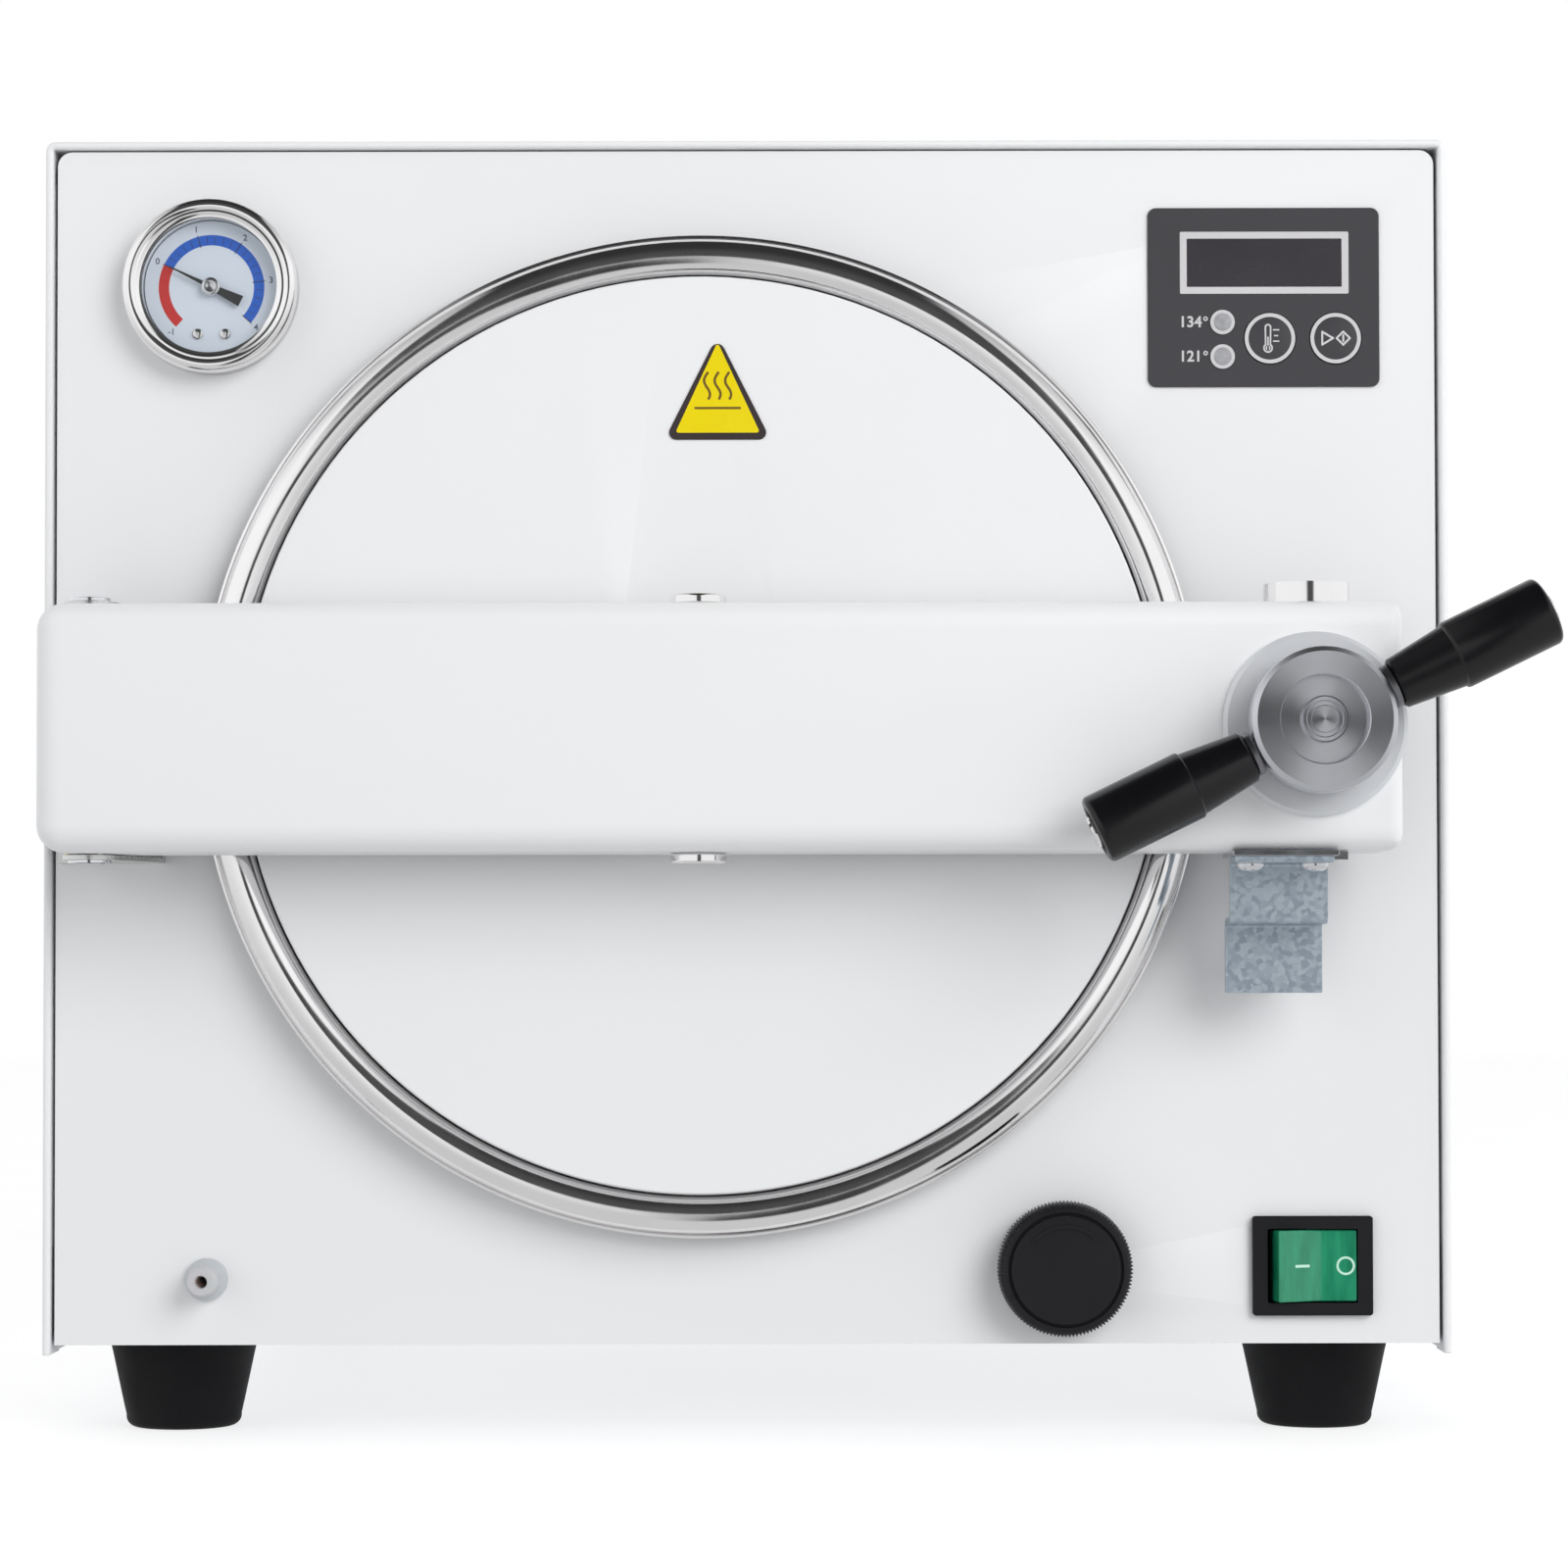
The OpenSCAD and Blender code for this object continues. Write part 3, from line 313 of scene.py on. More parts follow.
def turned_piece(name, profile, segments, finish, node=None, closed=False, ripple=None, **options):
    """A piece that is one turned solid."""
    bm = bmesh.new()
    lathe(bm, profile, segments, closed, ripple=ripple)
    make(name, bm, finish, node, **options)


def cut(piece, cutter_bm):
    """Takes the cutter's solids, drawn about the piece's own point, out of the piece."""
    cutter = to_object("cutter", cutter_bm)
    shape = cutter.data
    cutter.matrix_world = piece.matrix_world
    bpy.context.view_layer.update()
    difference = piece.modifiers.new("cut", "BOOLEAN")
    difference.operation = "DIFFERENCE"
    difference.solver = "EXACT"
    difference.object = cutter
    settle(piece)
    bpy.data.objects.remove(cutter)
    bpy.data.meshes.remove(shape)


# ---- Materials ----

LOOKS = {}


def shader(name, colour, roughness, metallic=0.0, **sockets):
    """A new material, kept in LOOKS under its name."""
    material = bpy.data.materials.new("look_" + name)
    LOOKS[name] = material
    material.use_nodes = True
    surface = material.node_tree.nodes["Principled BSDF"]
    surface.inputs["Base Color"].default_value = (*colour, 1)
    surface.inputs["Roughness"].default_value = roughness
    surface.inputs["Metallic"].default_value = metallic
    for socket, value in sockets.items():
        surface.inputs[socket.replace("_", " ")].default_value = value
    return material


def add(material, kind, links=None, values=None, **properties):
    """Adds a shader node. links and values are its inputs by name."""
    made = material.node_tree.nodes.new("ShaderNode" + kind)
    for key, value in properties.items():
        setattr(made, key, value)
    for key, value in (values or {}).items():
        made.inputs[key].default_value = value
    for key, source in (links or {}).items():
        material.node_tree.links.new(source, made.inputs[key])
    return made


def join(material, source, socket):
    surface = material.node_tree.nodes["Principled BSDF"]
    material.node_tree.links.new(source, surface.inputs[socket])


def place(material, stretch=(1, 1, 1)):
    """Texture coordinates in metres, stretched along the axes."""
    where = add(material, "TexCoord").outputs["Object"]
    return add(material, "VectorMath", operation="MULTIPLY", links={0: where},
               values={1: stretch}).outputs[0]


def noise(material, vector, scale, detail=3.0):
    made = add(material, "TexNoise", links={"Vector": vector}, values={"Scale": scale, "Detail": detail})
    return made.outputs["Fac"]


def between(material, factor, low, high, start=0.3, end=0.7):
    """A number that runs from low to high as the factor runs from start to end."""
    made = add(material, "MapRange", links={"Value": factor},
               values={"From Min": start, "From Max": end, "To Min": low, "To Max": high})
    return made.outputs["Result"]


def tint(material, factor, first, second, start=0.3, end=0.7):
    ramp = add(material, "ValToRGB", links={"Fac": factor})
    for element, position, colour in zip(ramp.color_ramp.elements, (start, end), (first, second)):
        element.position = position
        element.color = (*colour, 1)
    return ramp.outputs["Color"]


def shade(colour, factor):
    return tuple(min(1.0, c * factor) for c in colour)


def emboss(material, height, depth):
    """Bump from a height, with its depth in millimetres."""
    bump = add(material, "Bump", links={"Height": height}, values={"Distance": depth * MM})
    join(material, bump.outputs["Normal"], "Normal")


def textured(name, colour, rough, grain, depth, metallic=0.0, spread=0.04, patch=14, **sockets):
    """A surface whose colour and roughness drift in patches, with a fine grain of bumps."""
    material = shader(name, colour, rough[0], metallic, **sockets)
    vector = place(material)
    patches = noise(material, vector, patch)
    join(material, tint(material, patches, shade(colour, 1 - spread), shade(colour, 1 + spread)),
         "Base Color")
    smears = noise(material, vector, patch * 4.3, 5.0)
    join(material, between(material, smears, *rough), "Roughness")
    emboss(material, noise(material, vector, grain, 2.0), depth)
    return material


def turned(name, colour, rough, pitch, depth):
    """Lathe-turned metal: fine rings about a front-to-back axis."""
    material = shader(name, colour, rough[0], 1.0, Anisotropic=0.8)
    across = place(material, stretch=(1, 0, 1))
    radius = add(material, "VectorMath", operation="LENGTH", links={0: across}).outputs["Value"]
    rings = add(material, "TexNoise", noise_dimensions="1D", links={"W": radius},
                values={"Scale": 1 / (pitch * MM), "Detail": 2.0}).outputs["Fac"]
    join(material, tint(material, rings, shade(colour, 0.93), shade(colour, 1.05)), "Base Color")
    wear = noise(material, place(material), 90, 4.0)
    join(material, between(material, wear, *rough), "Roughness")
    emboss(material, rings, depth)
    tangent = add(material, "Tangent", direction_type="RADIAL", axis="Y")
    join(material, tangent.outputs["Tangent"], "Tangent")


def spangled(name):
    """Zinc-coated sheet with its frost-like crystals."""
    material = shader(name, (0.50, 0.57, 0.64), 0.45, 0.6)
    vector = place(material)
    warp = add(material, "TexNoise", links={"Vector": vector}, values={"Scale": 150.0, "Detail": 2.0})
    bent = add(material, "VectorMath", operation="MULTIPLY_ADD", values={1: (0.002, 0.002, 0.002)},
               links={0: warp.outputs["Color"], 2: vector}).outputs[0]
    cells = add(material, "TexVoronoi", links={"Vector": bent}, values={"Scale": 620.0})
    grey = add(material, "RGBToBW", links={"Color": cells.outputs["Color"]}).outputs[0]
    join(material, tint(material, grey, (0.37, 0.44, 0.51), (0.50, 0.57, 0.63), 0.2, 0.8), "Base Color")
    join(material, between(material, grey, 0.34, 0.52), "Roughness")
    emboss(material, noise(material, vector, 700, 3.0), 0.012)


def brushed(name, colour, rough, stretch, depth):
    """Metal with fine parallel scratches along the axis that is stretched least."""
    material = shader(name, colour, rough[0], 1.0)
    lines = noise(material, place(material, stretch), 1.0, 3.0)
    join(material, tint(material, lines, shade(colour, 0.9), shade(colour, 1.06)), "Base Color")
    join(material, between(material, lines, *rough), "Roughness")
    emboss(material, lines, depth)


def polished(name, colour, rough):
    """Bright metal with faint smears."""
    material = shader(name, colour, rough[0], 1.0)
    vector = place(material)
    smears = noise(material, vector, 55, 5.0)
    join(material, between(material, smears, *rough, 0.35, 0.75), "Roughness")
    join(material, tint(material, smears, shade(colour, 0.97), shade(colour, 1.02)), "Base Color")
    emboss(material, noise(material, vector, 240, 2.0), 0.0015)


def glass(name):
    """Clear glass with faint dust."""
    material = shader(name, (0.25, 0.27, 0.28), 0.04, Alpha=0.07)
    dust = noise(material, place(material), 160, 4.0)
    join(material, between(material, dust, 0.02, 0.09), "Roughness")


def rocker_green(name):
    """Tinted clear plastic with upright bands of deeper and paler green."""
    material = shader(name, (0.03, 0.42, 0.22), 0.22, Subsurface_Weight=0.25, Coat_Weight=0.4,
                      Subsurface_Radius=(0.2, 1, 0.5), Subsurface_Scale=0.003)
    bands = noise(material, place(material, (1, 0.15, 0.15)), 420, 2.0)
    join(material, tint(material, bands, (0.006, 0.22, 0.11), (0.020, 0.33, 0.17)), "Base Color")
    emboss(material, noise(material, place(material), 500, 2.0), 0.01)


def circuit_green(name):
    """Solder mask with pale tracks."""
    material = shader(name, (0.03, 0.16, 0.07), 0.35)
    cells = add(material, "TexVoronoi", distance="MANHATTAN", feature="DISTANCE_TO_EDGE",
                links={"Vector": place(material)}, values={"Scale": 260.0}).outputs["Distance"]
    join(material, tint(material, cells, (0.09, 0.28, 0.12), (0.02, 0.13, 0.05), 0.03, 0.06), "Base Color")
    emboss(material, cells, 0.03)


def finishes():
    """Every finish, by the name of its CAD material where it has one."""
    textured("white_enamel", (0.86, 0.865, 0.875), (0.30, 0.38), 950, 0.006, spread=0.006, patch=7)
    textured("disc_matt", (0.70, 0.715, 0.74), (0.42, 0.55), 900, 0.006, 0.25, spread=0.02)

    spangled("galvanised_sheet")
    brushed("stainless", (0.66, 0.66, 0.65), (0.20, 0.34), (900, 30, 900), 0.006)
    brushed("stainless_plate", (0.66, 0.66, 0.65), (0.22, 0.34), (1100, 1100, 14), 0.003)
    turned("turned_aluminium", (0.60, 0.61, 0.64), (0.28, 0.36), 0.22, 0.004)
    polished("zinc_screws", (0.72, 0.73, 0.75), (0.12, 0.24))
    polished("copper", (0.80, 0.42, 0.27), (0.22, 0.42))
    polished("chrome", (0.86, 0.85, 0.85), (0.09, 0.16))
    polished("brass", (0.78, 0.60, 0.28), (0.16, 0.32))
    polished("dark_steel", (0.22, 0.22, 0.235), (0.22, 0.38))

    textured("black_rubber", (0.005, 0.005, 0.006), (0.60, 0.75), 1500, 0.03, spread=0.2,
             Specular_IOR_Level=0.2)
    textured("black_plastic", (0.008, 0.008, 0.010), (0.40, 0.52), 2200, 0.02, spread=0.15,
             Specular_IOR_Level=0.3)
    textured("gloss_black", (0.004, 0.004, 0.005), (0.22, 0.30), 500, 0.004, spread=0.2,
             Specular_IOR_Level=0.4)
    textured("gauge_black", (0.02, 0.02, 0.022), (0.4, 0.55), 900, 0.01, spread=0.15)
    textured("fibre_blanket", (0.80, 0.78, 0.73), (0.85, 0.97), 700, 0.6, spread=0.1)
    textured("pale_nylon", (0.56, 0.56, 0.58), (0.42, 0.55), 1400, 0.012, spread=0.03,
             Subsurface_Weight=0.1)
    textured("silicone", (0.82, 0.80, 0.76), (0.45, 0.6), 900, 0.02, spread=0.03, Subsurface_Weight=0.2)
    circuit_green("circuit_board")

    textured("overlay_film", (0.050, 0.048, 0.054), (0.42, 0.52), 2600, 0.006, spread=0.06)
    textured("smoked_window", (0.044, 0.040, 0.046), (0.22, 0.30), 300, 0.001, spread=0.1)
    textured("lamp_lens", (0.36, 0.36, 0.38), (0.30, 0.45), 1800, 0.05, spread=0.12, patch=500)
    textured("dial_white", (0.78, 0.86, 0.96), (0.45, 0.55), 900, 0.002, spread=0.02)
    textured("label_film", (0.85, 0.68, 0.0), (0.22, 0.32), 1500, 0.002, spread=0.03)
    glass("clear_lens")
    rocker_green("green_rocker")

    for ink, colour, rough, spread in (
            ("light", (0.62, 0.61, 0.62), (0.5, 0.6), 0.03),
            ("dark", (0.035, 0.025, 0.025), (0.35, 0.5), 0.1),
            ("brown", (0.16, 0.09, 0.01), (0.4, 0.5), 0.1),
            ("grey", (0.16, 0.19, 0.26), (0.4, 0.5), 0.1),
            ("blue", (0.015, 0.13, 0.66), (0.35, 0.5), 0.05),
            ("red", (0.66, 0.02, 0.015), (0.35, 0.5), 0.05),
            ("mint", (0.55, 0.86, 0.70), (0.3, 0.4), 0.03)):
        textured("print_" + ink, colour, rough, 2500, 0.002, spread=spread)


def dress_cad_nodes():
    """Gives every CAD node the finished material of its slot."""
    for node in frame["nodes"].values():
        for holder in node.material_slots:
            holder.material = LOOKS[holder.material.name.split(".")[0]]


# ---- Cabinet ----

def hood():
    """The folded hood: one sheet over the top and down both sides, with a closed hem in front."""
    low, high = box_mm("hood")
    corner, skin_t, steps = 3.0, 1.2, 8
    hem, hem_depth, hem_taper, rear_edge = 2.4, 14.0, 1.5, 0.3
    nose = [(hem / 2 - hem / 2 * math.cos(t), low.y + hem / 2 - hem / 2 * math.sin(t))
            for t in (math.pi * i / steps for i in range(steps + 1))]
    section = [(0, high.y - rear_edge), *nose, (hem, hem_depth), (skin_t, hem_depth + hem_taper),
               (skin_t, high.y - rear_edge), (skin_t / 2, high.y)]
    path = [(low.x, low.z, -1, 0), (low.x, high.z - corner, -1, 0)]
    for left in (True, False):
        cx = low.x + corner if left else high.x - corner
        for i in range(1, steps):
            turn = math.radians((180 if left else 90) - 90 * i / steps)
            u, v = math.cos(turn), math.sin(turn)
            path.append((cx + corner * u, high.z - corner + corner * v, u, v))
        if left:
            path += [(low.x + corner, high.z, 0, 1), (high.x - corner, high.z, 0, 1)]
    path += [(high.x, high.z - corner, 1, 0), (high.x, low.z, 1, 0)]
    bm = bmesh.new()
    skin(bm, [[(x - u * inset, y, z - v * inset) for inset, y in section] for x, z, u, v in path])
    piece = make("hood_folded", bm, "white_enamel", "hood")
    vents = bmesh.new()
    rows, half_slot, radius, middle_y, first_z, pitch, bite = 7, 30, 2.0, 360, 60, 12, 3
    for z in (first_z + row * pitch for row in range(rows)):
        slot = arc(radius, -90, 90, 8, (middle_y + half_slot, z))
        slot += arc(radius, 90, 270, 8, (middle_y - half_slot, z))
        for side in (low.x, high.x):
            skin(vents, [[(x, y, z) for y, z in slot] for x in (side - bite, side + bite)])
    cut(piece, vents)
    soften(piece, 0.35, 50)


def feet():
    """Moulded rubber feet with a rounded tread edge and a recess for the screw."""
    tread, tread_round, top_edge, hole, recess, recess_top = 17.9, 3.2, 0.6, 2.6, 6, 14
    for i, (low, high) in enumerate(solids("feet")):
        top, tall = (high.x - low.x) / 2, high.z - low.z
        profile = [(recess, recess_top), (hole, recess_top), (hole, tall), (top - top_edge, tall),
                   (top, tall - top_edge)]
        profile += [(tread + (top - tread) * up * 0.94 + 0.1, 4 + (tall - 5) * up)
                    for up in (1 - k / 6 for k in range(1, 6))]
        profile += arc(tread_round, 8, -90, 8, (tread - tread_round, tread_round))
        profile += [(recess + 1.5, 0), (recess, 1)]
        centre = (low + high) / 2
        turned_piece(f"foot_{i + 1}", profile, 80, "black_rubber", "feet", closed=True,
                     at=(centre.x, centre.y, low.z), turn=Matrix.Rotation(math.pi / 2, 4, "X"), crease=50)


def screw_head(radius, height):
    """A domed pan head with a cross recess, standing on the XZ plane and facing the front."""
    dome = [(radius * math.sin(t), -height * math.cos(t) ** 0.8) for t in
            (math.pi / 2 * i / 9 for i in range(1, 10))]
    profile = [(radius * 0.97, 0.0), (radius, -0.12 * height)]
    profile += [(r, y) for r, y in reversed(dome) if y < -0.2 * height]
    bm = bmesh.new()
    lathe(bm, profile, 40)
    head = to_object("head", bm)
    arm, thick, deep = radius * 0.55, radius * 0.11, height * 0.55
    quarter = [(arm, thick), (thick, thick), (thick, arm)]
    plus = quarter + [(-u, v) for u, v in quarter[::-1]]
    plus += [(-u, -v) for u, v in plus]
    tool = bmesh.new()
    skin(tool, [[(u * k, y, v * k) for u, v in plus]
                for k, y in ((1.05, -height - 1), (0.45, -height + deep))])
    cut(head, tool)
    shape = head.data
    bpy.data.objects.remove(head)
    return shape


def place_screws(node, shape, facing, seat):
    """One piece with a head at each of the node's solids. facing turns -Y to where a head looks,
    and seat gives the point where it sits on the surface, both from the solid's box."""
    bm = bmesh.new()
    for low, high in solids(node):
        move = Matrix.Translation(seat(low, high)) @ facing(low, high) @ Matrix.Scale(1 / MM, 4)
        drawn_moved(bm, move, bmesh.types.BMesh.from_mesh, shape)
    make(node[:-1] + "_heads", bm, "zinc_screws", on=node)


def cabinet():
    hood()
    feet()
    refined("front_panel", "white_enamel", 0.5)
    refined("rear_panel", "white_enamel", 0.4)
    refined("hinge_bracket", "stainless_plate", 0.3, slot="stainless")
    refined("catch_block", "stainless_plate", 0.7, slot="stainless")
    refined("power_inlet", "black_plastic", 0.35)
    refined("hinge_pin", "zinc_screws", 0.5)
    refined("safety_valve", "brass", 0.35)


# ---- Door ----

def door_arm():
    """The pressed arm: a shell with soft corners and an open back."""
    low, high = box_mm("door_arm")
    soft, crisp, wall, segments = 8.0, 0.55, 4.0, 8
    bm = bmesh.new()
    bmesh.ops.create_cube(bm, size=1)
    size, centre = high - low, (low + high) / 2
    bmesh.ops.transform(bm, matrix=Matrix.Diagonal((*size, 1)), verts=bm.verts)
    back = [f for f in bm.faces if f.normal.y > 0.5]
    bmesh.ops.delete(bm, geom=back, context="FACES_ONLY")
    weight = bm.edges.layers.float.new("bevel_weight_edge")
    for edge in (e for e in bm.edges if not e.is_boundary):
        spot = (edge.verts[0].co + edge.verts[1].co) / 2
        edge[weight] = crisp if spot.x > size.x * 0.45 else 1.0
    shell = make("door_arm_shell", bm, "white_enamel", "door_arm", at=centre)
    shell.data.shade_smooth()
    rounds = shell.modifiers.new("rounds", "BEVEL")
    rounds.width = soft * MM
    rounds.segments = segments
    rounds.limit_method = "WEIGHT"
    hollow = shell.modifiers.new("hollow", "SOLIDIFY")
    hollow.thickness = wall * MM
    hollow.offset = -1
    hollow.use_even_offset = True
    settle(shell)
    drill = bmesh.new()
    bolt_r, pin_r, screw_r, spindle_r, through = 6.0, 12.8, 2, 6.5, 60

    def hole(spot, radius, bottom, top, count=64):
        outline = circle(radius, count, (spot.x - centre.x, spot.y - centre.y))
        skin(drill, [[(x, y, z) for x, y in outline] for z in (bottom, top)])

    hole(middle("hinge_bushes"), half_width("hinge_bushes"), -through, through)
    hole(middle("door_cross_bolt"), bolt_r, -through, through)
    hole(middle("lock_cross_pin"), bolt_r, -through, 0)
    hole(middle("lock_cross_pin"), pin_r, 0, through)
    spindle = middle("lock_spindle") - centre
    lathe(drill, [(spindle_r, -30), (spindle_r, 0)], 64, at=(spindle.x, spindle.z))
    for screw_low, screw_high in solids("bracket_screws"):
        hole((screw_low + screw_high) / 2, screw_r, -through, 0, 24)
    cut(shell, drill)
    shell.data.shade_smooth()
    shell.data.set_sharp_from_angle(angle=math.radians(35))
    soften(shell, 0.45, 50)


def door_rim():
    """The spun rim: a polished half-round roll with a narrow outer lip."""
    low, high = box_mm("door_rim")
    outer, bore, inner, lip = half_width("door_rim"), 136.9, 139.6, 1.6
    roll = (outer - lip - inner) / 2
    depth, steps = low.y + roll, 28
    profile = [(bore, high.y), (bore, -10), (inner, -10)]
    profile += [(inner + roll - roll * math.cos(t), depth - roll * math.sin(t))
                for t in (math.pi * i / steps for i in range(steps + 1))]
    profile += [(outer - lip, -9.4), (outer - lip + 0.25, -9.2), (outer - lip + 0.4, -9.6),
                (outer - 0.8, -9.95), (outer - 0.25, -9.8), (outer, -9.4), (outer, high.y)]
    turned_piece("door_rim_roll", profile, 256, "chrome", "door_rim", closed=True,
                 at=facing_spot("door_rim"), crease=50)


def warning_label():
    """A plain hot-surface triangle: three waves over a bar."""
    low, high = box_mm("hot_surface_label")
    front, wide, tall = low.y, high.x - low.x, high.z - low.z
    corner, border = 2.2, 2.1

    def triangle(inset):
        rise, reach = tall - 2 * inset, wide / 2 - inset * 1.55
        return filleted([(-reach, low.z + inset), (reach, low.z + inset), (0, low.z + inset + rise)],
                        corner - inset * 0.75, 8)

    at = ((low.x + high.x) / 2, 0, 0)
    base, face, signs = (bmesh.new() for _ in range(3))
    plate(base, triangle(0.0), front, front + 0.4)
    make("label_border", base, "print_dark", "hot_surface_label", at=at, slot="label_film")
    plate(face, triangle(border), front - 0.04, front + 0.2)
    make("label_face", face, "label_film", on="hot_surface_label", at=at)
    for dx in (-3.2, 0.0, 3.2):
        wave = [(dx + 0.9 * math.sin(2 * math.pi * k / 20 + 0.4), low.z + 12.2 + 8.4 * k / 20)
                for k in range(21)]
        plate(signs, band(wave, 0.75), front - 0.08, front + 0.1)
    plate(signs, rectangle(14.2, 0.7, 0.3, (0, low.z + 9.6), 3), front - 0.08, front + 0.1)
    make("label_signs", signs, "print_brown", on="hot_surface_label", at=at, slot="label_film")


def door():
    door_arm()
    door_rim()
    warning_label()
    refined("door_cover", "white_enamel", 0.8, segments=3)
    refined("door_cross_bolt", "chrome", 0.8, segments=3)
    refined("lock_cross_pin", "chrome", 0.6)
    refined("pin_plate", "zinc_screws", 0.5)
    refined("door_plate", "stainless_plate", 0.5, slot="stainless")


def interlock_bracket():
    """The zinc bracket, bent from one strip."""
    low, high = box_mm("interlock_bracket")
    thick, bend, upper, step = 2.0, 2.4, -39.0, 128.5
    path = [(low.y, high.z - thick / 2), (upper, high.z - thick / 2), (upper, step),
            (high.y - thick / 2, step), (high.y - thick / 2, low.z)]
    bm = bmesh.new()
    outline = band(filleted(path, bend, 6, closed=False), thick)
    skin(bm, [[(x, y, z) for y, z in outline] for x in (low.x, high.x)])
    make("bracket_strip", bm, "galvanised_sheet", "interlock_bracket", edge=0.3)


# ---- Lock ----

BAR_ANGLE = 26


def lock_hub():
    """The turned hub with its recess, and the spindle's end in the middle."""
    low, high = box_mm("lock_hub")
    radius, front, back = half_width("lock_hub"), low.y, high.y
    recess, deep, bolt = 12.75, 3.8, 6.75
    bolt_end = [(bolt, front + deep), (bolt, front + 1.2), (bolt - 0.4, front + 0.8), (5.4, front + 0.8),
                (5.1, front + 1.5), (4.0, front + 1.5), (3.8, front + 1.1), (1.6, front + 1.0)]
    cup = [(recess, front + deep), (recess, front + 0.35), (recess + 0.35, front)]
    rim = [(radius - 1.5, front), (radius - 0.15, front + 1.2), (radius, front + 1.6),
           (radius, back - 0.8), (radius - 0.8, back)]
    at = facing_spot("lock_hub")
    turned_piece("lock_hub_turned", bolt_end[::-1] + cup + rim, 160, "turned_aluminium", "lock_hub",
                 at=at, crease=25)

    low, high = box_mm("lock_base_disc")
    wide, bore, groove, groove_end, step = half_width("lock_base_disc"), 6.5, 17.9, 19.1, 0.6
    disc = [(bore, high.y), (bore, low.y), (groove, low.y), (groove + 0.3, low.y + step),
            (groove_end - 0.3, low.y + step), (groove_end, low.y), (wide - 1.2, low.y),
            (wide, low.y + 1.0), (wide, high.y)]
    turned_piece("lock_base_turned", disc, 160, "disc_matt", "lock_base_disc", closed=True, at=at,
                 slot="turned_aluminium", crease=25)


def along_bar(side):
    """Turns a lathe's Y axis along the bar, out to one end of it."""
    turn = Matrix.Rotation(-math.radians(BAR_ANGLE + 180 * side), 4, "Y")
    return turn @ Matrix.Rotation(-math.pi / 2, 4, "Z")


def handle():
    """Two steel rods, and a glossy grip on each with a slotted screw in its end."""
    hub = middle("lock_hub")
    at = (hub.x, middle("handle_grips").y, hub.z)
    head, tilt = 4.8, math.radians(BAR_ANGLE)
    reach = (half_width("handle_rods") - head * math.sin(tilt)) / math.cos(tilt)
    rod = [(4.6, 14.1), (5, 14.4), (5, 20.6), (6.2, 21.1), (6.6, 21.6), (6.6, 23.0), (6.2, 23.5),
           (5, 23.5), (5, reach - 6.5), (2.2, reach - 6.4), (2.2, reach - 3.2)]
    grip = [(5.0, 23.6), (6.9, 23.6), (7.6, 24.2)]
    grip += [(7.6 + 1.9 * k / 6, 24.2 + 17.6 * k / 6) for k in range(1, 7)]
    grip += [(9.7, 42.0), (10.05, 42.3), (10.25, 42.9), (10.25, reach - 3.2)]
    grip += arc(1.7, 0, 80, 8, (8.55, reach - 3.2))
    grip += [(7.6, reach - 1.5), (7.1, reach - 1.9), (6.8, reach - 3.3), (2.3, reach - 3.4),
             (2.3, reach - 6.2), (5.0, reach - 6.3)]
    tip = [(2.2, reach - 3.35), (4.6, reach - 3.35), (head, reach - 3.1), (head, reach - 0.8),
           (4.3, reach - 0.2), (1.5, reach)]
    half_slot, slot_depth = 0.6, 1.1
    slot = [(-6, -half_slot), (6, -half_slot), (6, half_slot), (-6, half_slot)]
    rods, grips, screws, slots = (bmesh.new() for _ in range(4))
    for side in (0, 1):
        turn = along_bar(side)
        for bm, profile, closed in ((rods, rod, False), (grips, grip, True), (screws, tip, False)):
            drawn_moved(bm, turn, lathe, profile, 72, closed)
        drawn_moved(slots, turn @ Matrix.Rotation(0.5, 4, "Y"), plate, slot, reach - slot_depth, reach + 2)
    make("handle_rod_bars", rods, "dark_steel", "handle_rods", at=at, crease=30)
    make("handle_grips_moulded", grips, "gloss_black", "handle_grips", at=at, crease=30)
    tips = make("handle_tip_screws", screws, "chrome", on="handle_rods", at=at, crease=30)
    cut(tips, slots)
    tips.data.set_sharp_from_angle(angle=math.radians(30))


def lock():
    lock_hub()
    handle()
    interlock_bracket()


# ---- Gauge ----

ZERO_ANGLE = 154
SCALE_START, SCALE_END = 228, -42


def ring_sector(bm, inner, outer, start, end, steps, front, back):
    plate(bm, arc(outer, start, end, steps) + arc(inner, end, start, steps), front, back)


def gauge_bezel(at):
    """The spun bezel: a flat seat for the glass inside a rounded roll."""
    seat, roll, steps, low = 20.75, 2.4, 16, box_mm("gauge_bezel")[0]
    outer, roll_y = half_width("gauge_bezel"), low.y + roll
    profile = [(20.7, 0), (20.7, -7.3), (21.5, -7.35), (21.5, -8.85), (seat, -8.9), (seat, -9.1)]
    profile += [(seat + 1.55 * k / 4, -9.1 - 0.55 * (k / 4) ** 2) for k in range(1, 5)]
    profile += [(outer - roll + roll * math.cos(t), roll_y - roll * math.sin(t))
                for t in (math.radians(125 - 125 * i / steps) for i in range(steps + 1))]
    profile += [(outer, -1.2), (outer - 0.3, -0.6), (outer - 0.3, 0)]
    turned_piece("gauge_bezel_spun", profile, 160, "chrome", "gauge_bezel", closed=True, at=at, crease=32)


